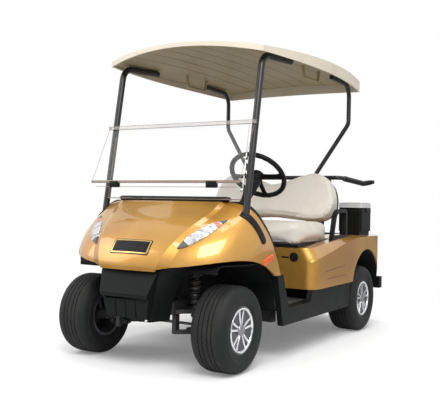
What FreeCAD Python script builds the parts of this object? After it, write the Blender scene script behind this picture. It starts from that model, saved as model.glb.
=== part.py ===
import FreeCAD, Part
import math
import os
from types import SimpleNamespace

os.makedirs("parts", exist_ok=True)

Vector = FreeCAD.Vector
Rotation = FreeCAD.Rotation
Placement = FreeCAD.Placement

# Golf cart with two seats: front at -Y, its left side at +X, +Z up, origin on the ground
# below the middle of its length. Every length is in millimetres. A setback is measured
# along +Y from the front axle, a lead along -Y from the rear axle, a height from the ground,
# a half width from the middle, and a fall or drop down from the height it names.
driving_sizes = {
    # whole vehicle and running gear
    "overall_length": 2470,
    "front_overhang": 320,
    "rear_overhang": 480,
    "front_track": 904,
    "rear_track": 990,
    "tyre_radius": 229.5,
    "tyre_width": 206,
    "tyre_shoulder": 46,
    "tyre_sidewall_bulge": 9,
    "rim_radius": 127,
    "rim_width": 176,
    "rim_wall": 7,
    "rim_lip": 9,
    "cover_radius": 112,
    "cover_dish": 22,
    "cover_thickness": 9,
    "hub_radius": 34,
    "hub_length": 92,
    "hub_cap_radius": 27,
    "hub_cap_height": 20,
    "spindle_radius": 14,
    "running_clearance": 0.05,
    "part_gap": 0.3,
    # steering and front suspension
    "kingpin_half_span": 310,
    "kingpin_radius": 15,
    "kingpin_height": 130,
    "kingpin_rise": 24,
    "knuckle_block": 46,
    "knuckle_flange_radius": 30,
    "steering_arm_length": 138,
    "steering_arm_height": 12,
    "steering_arm_width": 26,
    "tie_rod_radius": 8,
    "arm_thickness": 22,
    "arm_width": 34,
    "arm_spread": 200,
    "coil_radius": 26,
    "coil_wire": 9,
    "coil_turns": 7,
    "coil_half_span": 250,
    "coil_foot_height": 262,
    "coil_top_height": 520,
    "damper_radius": 15,
    # frame
    "rail_half_span": 178,
    "rail_width": 50,
    "rail_depth": 70,
    "rail_front_rise": 75,
    "rail_rear_rise": 118,
    "rail_front_step_setback": 230,
    "rail_rear_step_lead": 345,
    "rail_end_lead": -330,
    "rail_step_run": 80,
    "cross_width": 50,
    "tower_width": 60,
    # floor
    "floor_height": 297,
    "floor_thickness": 10,
    "toe_board_setback": 355,
    "toe_board_height": 470,
    "dash_foot_setback": 185,
    "dash_foot_height": 600,
    "seat_kick_lead": 770,
    "seat_kick_height": 372,
    "mat_thickness": 4,
    "mat_margin": 34,
    "brake_pedal_width": 90,
    "brake_pedal_height": 110,
    "power_pedal_width": 70,
    "power_pedal_height": 130,
    # rocker panels
    "sill_half_width": 580,
    "sill_thickness": 34,
    "sill_low_height": 202,
    "sill_front_setback": 396,
    "sill_pillar_width": 72,
    # front cowl
    "cowl_lip_height": 529,
    "cowl_ridge_height": 895,
    "cowl_foot_height": 420,
    "cowl_reach": 275,
    "cowl_base_setback": 200,
    "cowl_half_width": 580,
    "cowl_wall": 12,
    "cowl_back_top_setback": 151,
    "cowl_back_foot_setback": 392,
    "nose_half_width": 181,
    "crease_half_width": 330,
    "crease_proud": 20,
    "facet_lip_width": 66,
    "facet_ridge_width": 28,
    "front_arch_top": 592,
    "front_arch_front_height": 538,
    "front_arch_rear_height": 492,
    "front_arch_half_length": 290,
    # nose bumper
    "bumper_shelf_height": 397,
    "bumper_foot_height": 278,
    "bumper_top_half_width": 187,
    "bumper_shelf_half_width": 154,
    "bumper_foot_half_width": 132,
    "bumper_corner": 34,
    "wing_top_half_width": 334,
    "wing_shelf_half_width": 208,
    "wing_foot_half_width": 176,
    "wing_lead": 135,
    "wing_depth": 120,
    "wing_rise": 60,
    "bumper_shelf_depth": 26,
    "bumper_wall": 16,
    "bumper_groove": 9,
    # dashboard
    "dash_half_width": 486,
    "dash_top_drop": 47,
    "dash_depth": 215,
    "dash_wall": 10,
    "trim_height": 16,
    "trim_width": 52,
    # steering wheel
    "steering_wheel_offset": 270,
    "steering_wheel_setback": 640,
    "steering_wheel_height": 1062,
    "steering_wheel_radius": 170,
    "steering_rim_radius": 13,
    "steering_hub_radius": 46,
    "steering_hub_height": 44,
    "steering_spoke_width": 34,
    "steering_tilt": 45,
    "column_radius": 26,
    "column_length": 470,
    # posts
    "post_radius": 19,
    "rear_post_radius": 15,
    "front_post_half_span": 487,
    "front_post_base_setback": 100,
    "front_post_base_drop": 135,
    "front_post_top_setback": 267,
    "front_post_top_fall": 130,
    "front_post_end_setback": 620,
    "front_post_end_fall": 109,
    "rear_post_half_span": 493,
    "rear_post_top_lead": 109,
    "rear_post_top_fall": 113,
    "rear_post_end_lead": 435,
    "rear_post_end_fall": 103,
    "rear_post_bend_fall": 383,
    "rear_post_knee_half_span": 251,
    "post_bend_radius": 90,
    # roof
    "roof_half_width": 600,
    "roof_front_setback": 100,
    "roof_corner_setback": 195,
    "roof_rear_lead": 2,
    "roof_end_half_width": 530,
    "roof_crown_height": 1845,
    "roof_front_fall": 54,
    "roof_front_corner_fall": 128,
    "roof_side_fall": 65,
    "roof_rear_fall": 39,
    "roof_rear_corner_fall": 83,
    "roof_front_lip": 22,
    "roof_side_lip": 68,
    "roof_rear_lip": 66,
    "roof_wall": 10,
    "liner_fall": 50,
    "liner_side_fall": 100,
    "liner_front_fall": 74,
    "liner_front_corner_fall": 148,
    "liner_rear_fall": 75,
    "liner_rear_corner_fall": 110,
    "liner_thickness": 6,
    "handle_radius": 10,
    "handle_length": 250,
    "handle_drop": 75,
    "handle_fall": 74,
    "handle_half_span": 440,
    "handle_lead": 770,
    # windscreen
    "screen_half_width": 462,
    "screen_thickness": 5,
    "screen_foot_rise": 10,
    "screen_rail_height": 1332,
    "screen_fold_height": 1002,
    "screen_fold_reach": 172,
    "screen_fold_half_width": 505,
    "screen_rail_radius": 10,
    "screen_clip_width": 62,
    "screen_clip_height": 30,
    # rear body
    "body_half_width": 592,
    "body_front_lead": 870,
    "body_rear_lead": -382,
    "body_foot_height": 366,
    "body_front_top_height": 618,
    "body_rear_top_rise": 54,
    "body_top_inset": 54,
    "body_wall": 12,
    "body_corner_radius": 70,
    "body_tail_radius": 130,
    "rear_arch_radius": 285,
    "rear_arch_offset": 50,
    "rear_arch_height": 292,
    # seat
    "seat_half_width": 472,
    "seat_depth": 500,
    "seat_front_lead": 868,
    "seat_rise": 22,
    "seat_thickness": 132,
    "seat_corner_radius": 60,
    "tray_thickness": 18,
    "lid_clearance": 6,
    "backrest_half_width": 484,
    "backrest_gap": 14,
    "backrest_height": 342,
    "backrest_dip": 78,
    "backrest_thickness": 105,
    "backrest_lead": 358,
    "backrest_lean": 14,
    "backrest_shell_thickness": 14,
    # hip restraints
    "restraint_width": 30,
    "restraint_bar": 27,
    "restraint_front_lead": 475,
    "restraint_rear_lead": 208,
    "restraint_rise": 244,
    # bag well and rack
    "well_half_width": 338,
    "well_wall": 8,
    "well_front_lead": 170,
    "well_rear_lead": -360,
    "rack_drop": 44,
    "rack_bar_radius": 15,
    "rack_half_span": 440,
    "rack_lead": 110,
    "rack_arm_lead": -370,
    # cooler
    "cooler_offset": 455,
    "cooler_lead": -48,
    "cooler_width": 176,
    "cooler_length": 212,
    "cooler_height": 172,
    "cooler_wall": 12,
    "cooler_lid_height": 34,
    "cooler_rise": 82,
    "cooler_corner_radius": 18,
    # tail
    "tail_bumper_half_width": 560,
    "tail_bumper_depth": 60,
    "tail_bumper_height": 86,
    "tail_bumper_foot": 262,
    "tail_lamp_radius": 38,
    "tail_lamp_depth": 20,
    "tail_lamp_half_span": 415,
    "tail_lamp_height": 590,
    # power train
    "battery_half_width": 400,
    "battery_length": 345,
    "battery_height": 250,
    "battery_lead": 745,
    "axle_tube_radius": 36,
    "axle_flange_radius": 60,
    "gearcase_radius": 98,
    "gearcase_width": 150,
    "motor_radius": 92,
    "motor_length": 245,
    "spring_half_span": 300,
    "spring_width": 50,
    "spring_leaf": 8,
    "spring_length": 520,
    # head lamps
    "lamp_thickness": 9,
}

document = FreeCAD.newDocument("golf_cart")
sheet = document.addObject("Spreadsheet::Sheet", "Size")
for row, (name, value) in enumerate(driving_sizes.items(), 1):
    sheet.set(f"A{row}", name)
    sheet.set(f"B{row}", str(value))
    sheet.setAlias(f"B{row}", name)
document.recompute()
size = SimpleNamespace(**{name: float(sheet.get(name)) for name in driving_sizes})

front_axle_y = size.front_overhang - size.overall_length / 2
rear_axle_y = size.overall_length / 2 - size.rear_overhang
wheel_height = size.tyre_radius
body_rear_top = size.body_front_top_height + size.body_rear_top_rise
seat_bottom = size.body_front_top_height + size.seat_rise
backrest_bottom = seat_bottom + size.seat_thickness + size.backrest_gap
backrest_peak = backrest_bottom + size.backrest_height
rack_height = backrest_peak - size.rack_drop
left_and_right = (1, -1)
x_axis = Vector(1, 0, 0)
y_axis = Vector(0, 1, 0)
z_axis = Vector(0, 0, 1)


def behind(setback):
    """Y of a point that lies this far behind the front axle."""
    return front_axle_y + setback


def ahead(lead):
    """Y of a point this far ahead of the rear axle; a negative lead lies behind it."""
    return rear_axle_y - lead


def rounded_edges(points, radii, closed=True):
    """Straight runs through the points, joined by a tangent arc wherever a radius is given."""
    count = len(points)
    starts, ends, edges = [], [], []
    for index, point in enumerate(points):
        radius = radii[index]
        inner = closed or 0 < index < count - 1
        if not inner or radius == 0:
            starts.append(point)
            ends.append(point)
            continue
        before = (points[index - 1] - point).normalize()
        after = (points[(index + 1) % count] - point).normalize()
        half_turn = before.getAngle(after) / 2
        reach = radius / math.tan(half_turn)
        first = point + before * reach
        last = point + after * reach
        towards_centre = (before + after).normalize()
        middle = point + towards_centre * (radius / math.sin(half_turn) - radius)
        edges.append((index, Part.Arc(first, middle, last).toShape()))
        starts.append(first)
        ends.append(last)
    arcs = dict(edges)
    path = []
    steps = count if closed else count - 1
    for index in range(steps):
        if index in arcs:
            path.append(arcs[index])
        following = (index + 1) % count
        if ends[index].distanceToPoint(starts[following]) > size.running_clearance:
            path.append(Part.LineSegment(ends[index], starts[following]).toShape())
    return path


def place_point(plane, across, up, offset):
    if plane == "YZ":
        return Vector(offset, across, up)
    if plane == "XZ":
        return Vector(across, offset, up)
    return Vector(across, up, offset)


def prism(plane, outline, start, end):
    """Extrudes an outline of (across, up) or (across, up, corner radius) from start to end."""
    points = [place_point(plane, row[0], row[1], start) for row in outline]
    radii = [row[2] if len(row) > 2 else 0 for row in outline]
    wire = Part.Wire(rounded_edges(points, radii))
    direction = {"YZ": x_axis, "XZ": y_axis, "XY": z_axis}[plane]
    return Part.Face(wire).extrude(direction * (end - start))


def tube(points, bend_radius, radius):
    """A round bar along straight runs joined by bends of one radius."""
    edges = rounded_edges(points, [bend_radius] * len(points), closed=False)
    path = Part.Wire(edges)
    start_direction = (points[1] - points[0]).normalize()
    section = Part.Wire(Part.Circle(points[0], start_direction, radius).toShape())
    return path.makePipeShell([section], True, False)


def cylinder(radius, foot, direction, length):
    return Part.makeCylinder(radius, length, foot, direction)


def block(low, high):
    """A box between two opposite corners."""
    return Part.makeBox(high.x - low.x, high.y - low.y, high.z - low.z, low)


def revolved(profile, axis_point, axis):
    """Turns a closed outline of vectors right round an axis."""
    wire = Part.makePolygon(profile + [profile[0]])
    return Part.Face(wire).revolve(axis_point, axis, 360)


def mirrored(shape):
    return shape.mirror(Vector(0, 0, 0), x_axis)


def both_sides(shape):
    """The shape with its mirror image on the other side, as two solids."""
    return Part.makeCompound([shape, mirrored(shape)])


def united(shapes):
    result = shapes[0].fuse(shapes[1:])
    return result.removeSplitter()


nodes = {}


def add(label, shape, place=Vector(0, 0, 0)):
    """Stores a finished shape as a sub-part of the document."""
    feature = document.addObject("Part::Feature", label)
    feature.Label = label
    own_place = shape.Placement
    feature.Shape = shape
    feature.Placement = Placement(place, Rotation()).multiply(own_place)
    nodes[label] = feature


# wheels and tyres

def tyre_shape():
    """Tubeless tyre with rounded shoulders on a ten inch rim; its tread is left plain."""
    half = size.tyre_width / 2
    bead_half = size.rim_width / 2 - size.rim_lip
    shoulder = size.tyre_shoulder
    crown = size.tyre_radius
    bead = size.rim_radius + size.part_gap
    wall_radius = (crown + bead) / 2
    outline = [
        (-bead_half, bead),
        (-half + size.tyre_sidewall_bulge, bead + size.rim_lip * 2),
        (-half, wall_radius),
        (-half + size.tyre_sidewall_bulge, crown - shoulder / 2),
        (-half + shoulder, crown),
        (half - shoulder, crown),
        (half - size.tyre_sidewall_bulge, crown - shoulder / 2),
        (half, wall_radius),
        (half - size.tyre_sidewall_bulge, bead + size.rim_lip * 2),
        (bead_half, bead),
    ]
    points = [Vector(along, 0, out) for along, out in outline]
    return revolved(points, Vector(0, 0, 0), x_axis)


def wheel_shape(outward):
    """Rim barrel with its dished face, hub and cap, open towards the axle."""
    half = size.rim_width / 2
    rim = size.rim_radius
    barrel_inner = rim - size.rim_lip - size.rim_wall
    face_out = half - size.cover_dish
    face_in = face_out - size.cover_thickness
    hub_in = face_in - size.hub_length
    bore = size.spindle_radius + size.running_clearance
    cap_out = face_out + size.hub_cap_height
    outline = [
        (-half, rim),
        (-half, barrel_inner),
        (face_in - size.rim_lip, barrel_inner),
        (face_in, barrel_inner - size.rim_lip),
        (face_in, size.hub_radius),
        (hub_in, size.hub_radius),
        (hub_in, bore),
        (face_out, bore),
        (face_out, 0),
        (cap_out, 0),
        (cap_out, size.hub_cap_radius - size.rim_wall),
        (cap_out - size.rim_wall, size.hub_cap_radius),
        (face_out, size.hub_cap_radius),
        (face_out, size.cover_radius),
        (half, size.cover_radius + size.rim_wall),
        (half, rim),
        (half - size.rim_lip, rim),
        (half - size.rim_lip * 2, rim - size.rim_lip),
        (-half + size.rim_lip * 2, rim - size.rim_lip),
        (-half + size.rim_lip, rim),
    ]
    points = [Vector(along * outward, 0, out) for along, out in outline]
    return revolved(points, Vector(0, 0, 0), x_axis)


wheel_places = {
    "front_left": (front_axle_y, size.front_track / 2, 1),
    "front_right": (front_axle_y, -size.front_track / 2, -1),
    "rear_left": (rear_axle_y, size.rear_track / 2, 1),
    "rear_right": (rear_axle_y, -size.rear_track / 2, -1),
}
for place, (axle_y, wheel_x, outward) in wheel_places.items():
    centre = Vector(wheel_x, axle_y, wheel_height)
    add(f"tyre_{place}", tyre_shape(), centre)
    add(f"wheel_{place}", wheel_shape(outward), centre)


# steering knuckles, suspension arms and springs

kingpin_low = wheel_height + size.kingpin_rise - size.kingpin_height / 2
kingpin_high = wheel_height + size.kingpin_rise + size.kingpin_height / 2
face_plane = size.rim_width / 2 - size.cover_dish
spindle_end = size.front_track / 2 + face_plane - size.cover_thickness
hub_inner_face = size.front_track / 2 + face_plane - size.cover_thickness - size.hub_length
arm_eye_y = front_axle_y + size.steering_arm_length
arm_low = kingpin_low + size.arm_thickness
eye_radius = size.steering_arm_width / 2


def knuckle_shape():
    """Upright that turns on its kingpin, with the wheel's spindle and the steering arm."""
    pin_x = size.kingpin_half_span
    half = size.knuckle_block / 2
    shoulder = hub_inner_face - size.part_gap
    upright = block(
        Vector(pin_x - half, front_axle_y - half, kingpin_low + size.arm_thickness),
        Vector(pin_x + half, front_axle_y + half, kingpin_high - size.arm_thickness),
    )
    centre = Vector(pin_x, front_axle_y, wheel_height)
    spindle = cylinder(size.spindle_radius, centre, x_axis, spindle_end - pin_x)
    collar_x = pin_x + size.kingpin_radius * 2 + size.part_gap
    collar_start = Vector(collar_x, front_axle_y, wheel_height)
    collar = cylinder(size.knuckle_flange_radius, collar_start, x_axis, shoulder - collar_x)
    pin = cylinder(
        size.kingpin_radius, Vector(pin_x, front_axle_y, kingpin_low), z_axis, size.kingpin_height
    )
    arm = block(
        Vector(pin_x - eye_radius, front_axle_y, arm_low),
        Vector(pin_x + eye_radius, arm_eye_y, arm_low + size.steering_arm_height),
    )
    eye = cylinder(eye_radius, Vector(pin_x, arm_eye_y, arm_low), z_axis, size.steering_arm_height)
    return united([upright, spindle, collar, pin, arm, eye])


knuckle = knuckle_shape()
add("knuckle_left", knuckle)
add("knuckle_right", mirrored(knuckle))


def suspension_arm(height, spring_seat):
    """One A-shaped arm from the frame to the kingpin's eye, on the left side."""
    inner_x = size.rail_half_span + size.rail_width / 2
    pin_x = size.kingpin_half_span
    eye_outer = size.kingpin_radius * 2
    half_spread = size.arm_spread / 2
    half_arm = size.arm_width / 2
    outline = [
        (inner_x, front_axle_y - half_spread - half_arm),
        (pin_x, front_axle_y - half_arm),
        (pin_x, front_axle_y + half_arm),
        (inner_x, front_axle_y + half_spread + half_arm),
        (inner_x, front_axle_y + half_spread - half_arm),
        (pin_x - half_arm, front_axle_y),
        (inner_x, front_axle_y - half_spread + half_arm),
    ]
    thickness = size.arm_thickness - size.part_gap
    arm = prism("XY", outline, height, height + thickness)
    eye = cylinder(eye_outer, Vector(pin_x, front_axle_y, height), z_axis, thickness)
    hole = cylinder(
        size.kingpin_radius + size.running_clearance,
        Vector(pin_x, front_axle_y, height - size.arm_thickness),
        z_axis,
        size.arm_thickness * 3,
    )
    pieces = [arm, eye]
    if spring_seat:
        seat_low = Vector(inner_x, front_axle_y - half_arm, height)
        seat_high = Vector(pin_x - half_arm, front_axle_y + half_arm, height + thickness)
        pieces.append(block(seat_low, seat_high))
        seat_foot = Vector(size.coil_half_span, front_axle_y, height)
        pieces.append(cylinder(size.damper_radius, seat_foot, z_axis, size.coil_foot_height - height))
    return united(pieces).cut(hole)


lower_arm = suspension_arm(kingpin_low, True)
upper_arm = suspension_arm(kingpin_high - size.arm_thickness + size.part_gap, False)
arms = [lower_arm, upper_arm, mirrored(lower_arm), mirrored(upper_arm)]
add("suspension_arms", Part.makeCompound(arms))


def coil_shape():
    """Damper in its coil spring, whose turns are rings on the damper."""
    foot_z = size.coil_foot_height
    length = size.coil_top_height - foot_z
    pitch = length / size.coil_turns
    outline = [(0, foot_z)]
    for turn in range(int(size.coil_turns)):
        turn_low = foot_z + turn * pitch
        outline += [
            (size.damper_radius, turn_low),
            (size.coil_radius, turn_low + (pitch - size.coil_wire) / 2),
            (size.coil_radius, turn_low + (pitch + size.coil_wire) / 2),
        ]
    outline += [(size.damper_radius, size.coil_top_height), (0, size.coil_top_height)]
    points = [Vector(size.coil_half_span + out, front_axle_y, up) for out, up in outline]
    centre = Vector(size.coil_half_span, front_axle_y, 0)
    return revolved(points, centre, z_axis)


coil = coil_shape()

rod_z = arm_low - size.part_gap - size.tie_rod_radius


def tie_rod_shape():
    """Rod across the cart below the steering arms, with an eye under each arm."""
    foot = Vector(-size.kingpin_half_span, arm_eye_y, rod_z)
    rod = cylinder(size.tie_rod_radius, foot, x_axis, size.kingpin_half_span * 2)
    eyes = []
    for side in left_and_right:
        eye_foot = Vector(
            side * size.kingpin_half_span, arm_eye_y, rod_z - size.tie_rod_radius
        )
        eyes.append(cylinder(eye_radius, eye_foot, z_axis, size.tie_rod_radius * 2))
    return united([rod] + eyes)


add("tie_rod", tie_rod_shape())


# frame

rail_top = size.floor_height - size.floor_thickness - size.part_gap
rail_low = rail_top - size.rail_depth
front_rail_low = rail_low + size.rail_front_rise
rear_rail_low = rail_low + size.rail_rear_rise


def frame_shape():
    """Two rails that rise over both axles, with cross members, spring towers and hangers."""
    front_y = behind(size.part_gap - size.wing_lead)
    front_step = behind(size.rail_front_step_setback)
    rear_step = ahead(size.rail_rear_step_lead)
    end_y = ahead(size.rail_end_lead)
    run = size.rail_step_run
    depth = size.rail_depth
    side_outline = [
        (front_y, front_rail_low),
        (front_step, front_rail_low),
        (front_step + run, rail_low),
        (rear_step, rail_low),
        (rear_step + run, rear_rail_low),
        (end_y, rear_rail_low),
        (end_y, rear_rail_low + depth),
        (rear_step + run - depth / 2, rear_rail_low + depth),
        (rear_step - depth / 2, rail_top),
        (front_step + run + depth / 2, rail_top),
        (front_step + depth / 2, front_rail_low + depth),
        (front_y, front_rail_low + depth),
    ]
    rail_in = size.rail_half_span - size.rail_width / 2
    rail_out = size.rail_half_span + size.rail_width / 2
    rail = prism("YZ", side_outline, rail_in, rail_out)
    pieces = [rail, mirrored(rail)]
    wide = size.sill_half_width - size.sill_thickness - size.mat_margin
    cross_places = [
        (front_y, front_rail_low, rail_out),
        (behind(size.rail_front_step_setback) + run * 2, rail_low, wide),
        (ahead(size.seat_kick_lead), rail_low, wide),
        (rear_step - run * 2, rail_low, wide),
        (end_y - size.cross_width, rear_rail_low, size.spring_half_span + size.spring_width / 2),
    ]
    for cross_y, low, half in cross_places:
        high = low + depth
        pieces.append(
            block(Vector(-half, cross_y, low), Vector(half, cross_y + size.cross_width, high))
        )
    tower_in = size.rail_half_span - size.rail_width / 2
    tower_out = size.coil_half_span + size.tower_width / 2
    half = size.tower_width / 2
    tower_top = size.coil_top_height + size.arm_thickness
    post = block(
        Vector(tower_in, front_axle_y - half, front_rail_low),
        Vector(rail_out - size.rail_width / 2, front_axle_y + half, tower_top),
    )
    cap = block(
        Vector(tower_in, front_axle_y - half, size.coil_top_height + size.part_gap),
        Vector(tower_out, front_axle_y + half, tower_top),
    )
    mount_low = kingpin_low - size.part_gap
    for piece in (post, cap):
        pieces += [piece, mirrored(piece)]
    for ear_y in (front_axle_y - size.arm_spread / 2, front_axle_y + size.arm_spread / 2):
        ear = block(
            Vector(rail_out - size.rail_width / 2, ear_y - size.arm_width / 2, mount_low),
            Vector(rail_out - size.part_gap, ear_y + size.arm_width / 2, front_rail_low),
        )
        pieces += [ear, mirrored(ear)]
    cross_low = front_rail_low
    pieces.append(
        block(
            Vector(-tower_in, front_axle_y - half, cross_low),
            Vector(tower_in, front_axle_y + half, cross_low + size.cross_width),
        )
    )
    for hanger_y in (
        rear_axle_y - size.spring_length / 2,
        rear_axle_y + size.spring_length / 2 - size.cross_width / 2,
    ):
        hanger = block(
            Vector(
                rail_in,
                hanger_y,
                rear_rail_low,
            ),
            Vector(
                size.spring_half_span + size.spring_width / 2,
                hanger_y + size.cross_width / 2,
                rear_rail_low + size.cross_width,
            ),
        )
        pieces += [hanger, mirrored(hanger)]
    return united(pieces)


add("frame", frame_shape())


# rear axle, motor and leaf springs

def rear_axle_shape():
    """Axle tube with its gear case, motor, flanges and the stubs that carry the wheels."""
    stub_length = size.rear_track / 2 + face_plane - size.cover_thickness
    flange_outer = size.rear_track / 2 + face_plane - size.cover_thickness - size.hub_length
    centre = Vector(0, rear_axle_y, wheel_height)
    pieces = [
        cylinder(
            size.axle_tube_radius,
            centre - x_axis * (flange_outer - size.part_gap),
            x_axis,
            (flange_outer - size.part_gap) * 2,
        ),
        cylinder(size.spindle_radius, centre - x_axis * stub_length, x_axis, stub_length * 2),
    ]
    case_left = centre - x_axis * (size.gearcase_width / 2)
    pieces.append(cylinder(size.gearcase_radius, case_left, x_axis, size.gearcase_width))
    motor_foot = centre + x_axis * (size.gearcase_width / 2) - y_axis * size.gearcase_radius
    pieces.append(
        cylinder(size.motor_radius, motor_foot - x_axis * size.motor_length, x_axis, size.motor_length)
    )
    for side in left_and_right:
        foot = centre + x_axis * side * (flange_outer - size.part_gap - size.rim_wall)
        flange = cylinder(size.axle_flange_radius, foot, x_axis * side, size.rim_wall)
        pieces.append(flange)
    return united(pieces)


add("rear_axle", rear_axle_shape())


def leaf_spring_shape():
    """Leaf pack that sits on the axle tube and hangs from the frame at both ends."""
    half_length = size.spring_length / 2
    seat_z = wheel_height + size.axle_tube_radius + size.part_gap
    end_z = rear_rail_low - size.part_gap - size.spring_leaf
    start = Vector(0, rear_axle_y - half_length, end_z)
    middle = Vector(0, rear_axle_y, seat_z)
    finish = Vector(0, rear_axle_y + half_length, end_z)
    lift = z_axis * size.spring_leaf
    lower = Part.Arc(start, middle, finish).toShape()
    upper = Part.Arc(start + lift, middle + lift, finish + lift).toShape()
    ends = [
        Part.LineSegment(finish, finish + lift).toShape(),
        Part.LineSegment(start + lift, start).toShape(),
    ]
    wire = Part.Wire([lower, ends[0], upper, ends[1]])
    leaf = Part.Face(wire).extrude(x_axis * size.spring_width)
    leaf.translate(x_axis * (size.spring_half_span - size.spring_width / 2))
    helper_low = seat_z + size.spring_leaf - size.part_gap
    helper = block(
        Vector(
            size.spring_half_span - size.spring_width / 2,
            rear_axle_y - size.spring_width,
            helper_low,
        ),
        Vector(
            size.spring_half_span + size.spring_width / 2,
            rear_axle_y + size.spring_width,
            helper_low + size.spring_leaf * 2,
        ),
    )
    return united([leaf, helper])


leaf = leaf_spring_shape()
add("suspension_springs", Part.makeCompound([coil, mirrored(coil), leaf, mirrored(leaf)]))


# floor, mat and rocker panels

floor_half_width = size.sill_half_width - size.sill_thickness - size.part_gap


def floor_shape():
    """Moulded floor with the toe board in front and the kick plate below the seat."""
    thick = size.floor_thickness
    top = size.floor_height
    toe_y = behind(size.toe_board_setback)
    foot_y = behind(size.dash_foot_setback)
    kick_y = ahead(size.seat_kick_lead)
    outline = [
        (foot_y, size.dash_foot_height),
        (toe_y, size.toe_board_height),
        (toe_y, top),
        (kick_y, top),
        (kick_y, size.seat_kick_height),
        (kick_y + thick, size.seat_kick_height),
        (kick_y + thick, top - thick),
        (toe_y - thick, top - thick),
        (toe_y - thick, size.toe_board_height - thick / 2),
        (foot_y - thick, size.dash_foot_height - thick / 2),
    ]
    return prism("YZ", outline, -floor_half_width, floor_half_width)


add("floor_pan", floor_shape())

mat_half = floor_half_width - size.mat_margin
mat_top = size.floor_height + size.mat_thickness
add(
    "floor_mat",
    block(
        Vector(-mat_half, behind(size.toe_board_setback) + size.mat_margin / 2, size.floor_height),
        Vector(mat_half, ahead(size.seat_kick_lead) - size.mat_margin / 2, mat_top),
    ),
)


def sill_shape():
    """Rocker panel: pillar behind the front wheel, low step, and the run below the seat."""
    low = size.sill_low_height
    front_y = behind(size.sill_front_setback)
    pillar_top_y = behind(size.cowl_back_foot_setback - size.sill_pillar_width)
    arch_y = rear_axle_y + size.rear_arch_offset - size.rear_arch_radius
    kick_y = ahead(size.body_front_lead)
    outline = [
        (front_y, low),
        (arch_y - size.sill_thickness, low),
        (arch_y, size.body_foot_height - size.part_gap),
        (kick_y, size.body_foot_height - size.part_gap, size.sill_thickness),
        (kick_y - size.sill_thickness, size.floor_height, size.sill_thickness / 2),
        (front_y + size.sill_pillar_width, size.floor_height, size.sill_thickness / 2),
        (pillar_top_y + size.sill_pillar_width, size.front_arch_rear_height),
        (pillar_top_y, size.front_arch_rear_height),
    ]
    inner = size.sill_half_width - size.sill_thickness
    return prism("YZ", outline, inner, size.sill_half_width)


add("side_sills", both_sides(sill_shape()))


# front cowl

# per level of the cowl: its height, its reach ahead of the base line, its half width and how far
# out the bonnet's crease lies, as shares of the cowl's rise, reach, width and crease run
cowl_level_shares = [
    (-0.30, 1.000, 1.000, 0.00),
    (0.00, 1.000, 1.000, 0.00),
    (0.14, 0.994, 1.000, 0.12),
    (0.36, 0.905, 0.995, 0.35),
    (0.54, 0.768, 0.975, 0.56),
    (0.72, 0.573, 0.935, 0.80),
    (0.90, 0.345, 0.870, 1.00),
    (1.00, 0.220, 0.640, 1.00),
]
plan_fullness = 2.6
fender_steps = 6
cowl_base_y = behind(size.cowl_base_setback)
cowl_rise = size.cowl_ridge_height - size.cowl_lip_height
cowl_full_reach = size.cowl_base_setback + size.cowl_reach
cowl_tail_y = behind(size.cowl_back_foot_setback) + size.cowl_wall


def nose_y(along_x, reach, half_width):
    """Y of the fenders' full curve at a distance from the middle."""
    share = min(abs(along_x) / half_width, 1)
    return cowl_base_y - reach * (1 - share**plan_fullness) ** (1 / plan_fullness)


def nose_section(height, reach, half_width, crease_share):
    """Plan outline of the nose at one height: bonnet, slanted facets, fenders, straight sides."""
    crease = size.nose_half_width + (size.crease_half_width - size.nose_half_width) * crease_share
    facet = size.facet_lip_width + (size.facet_ridge_width - size.facet_lip_width) * crease_share
    proud = size.crease_proud * (1 - crease_share / 2)
    crease_y = nose_y(crease, reach, half_width) - proud
    front = Vector(0, nose_y(0, reach, half_width) - proud, height)
    outer = crease + facet
    start = math.acos((outer / half_width) ** (plan_fullness / 2))
    fender = []
    for step in range(fender_steps + 1):
        angle = start * (1 - step / fender_steps)
        along_x = half_width * math.cos(angle) ** (2 / plan_fullness)
        fender.append(Vector(along_x, nose_y(along_x, reach, half_width), height))
    fender_right = [Vector(-point.x, point.y, height) for point in reversed(fender)]
    left_crease = Vector(crease, crease_y, height)
    right_crease = Vector(-crease, crease_y, height)
    corner_left = Vector(half_width, cowl_tail_y, height)
    corner_right = Vector(-half_width, cowl_tail_y, height)
    edges = []
    for points in (fender_right, [right_crease, front, left_crease], fender):
        curve = Part.BSplineCurve()
        curve.interpolate(points)
        edges.append(curve.toShape())
    edges.insert(1, Part.LineSegment(fender_right[-1], right_crease).toShape())
    edges.insert(3, Part.LineSegment(left_crease, fender[0]).toShape())
    edges.append(Part.LineSegment(fender[-1], corner_left).toShape())
    edges.append(Part.LineSegment(corner_left, corner_right).toShape())
    edges.append(Part.LineSegment(corner_right, fender_right[0]).toShape())
    return Part.Wire(edges)


def nose_body(extra_reach, inset, drop):
    """Solid nose through every level, reaching further or set in by a wall."""
    sections = []
    for height_share, reach_share, width_share, crease_share in cowl_level_shares:
        height = size.cowl_lip_height + cowl_rise * height_share
        if height_share == 1:
            height -= drop
        reach = cowl_full_reach * reach_share + extra_reach - inset
        half_width = size.cowl_half_width * width_share - inset
        sections.append(nose_section(height, reach, half_width, crease_share))
    return Part.makeLoft(sections, True, False)


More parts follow.
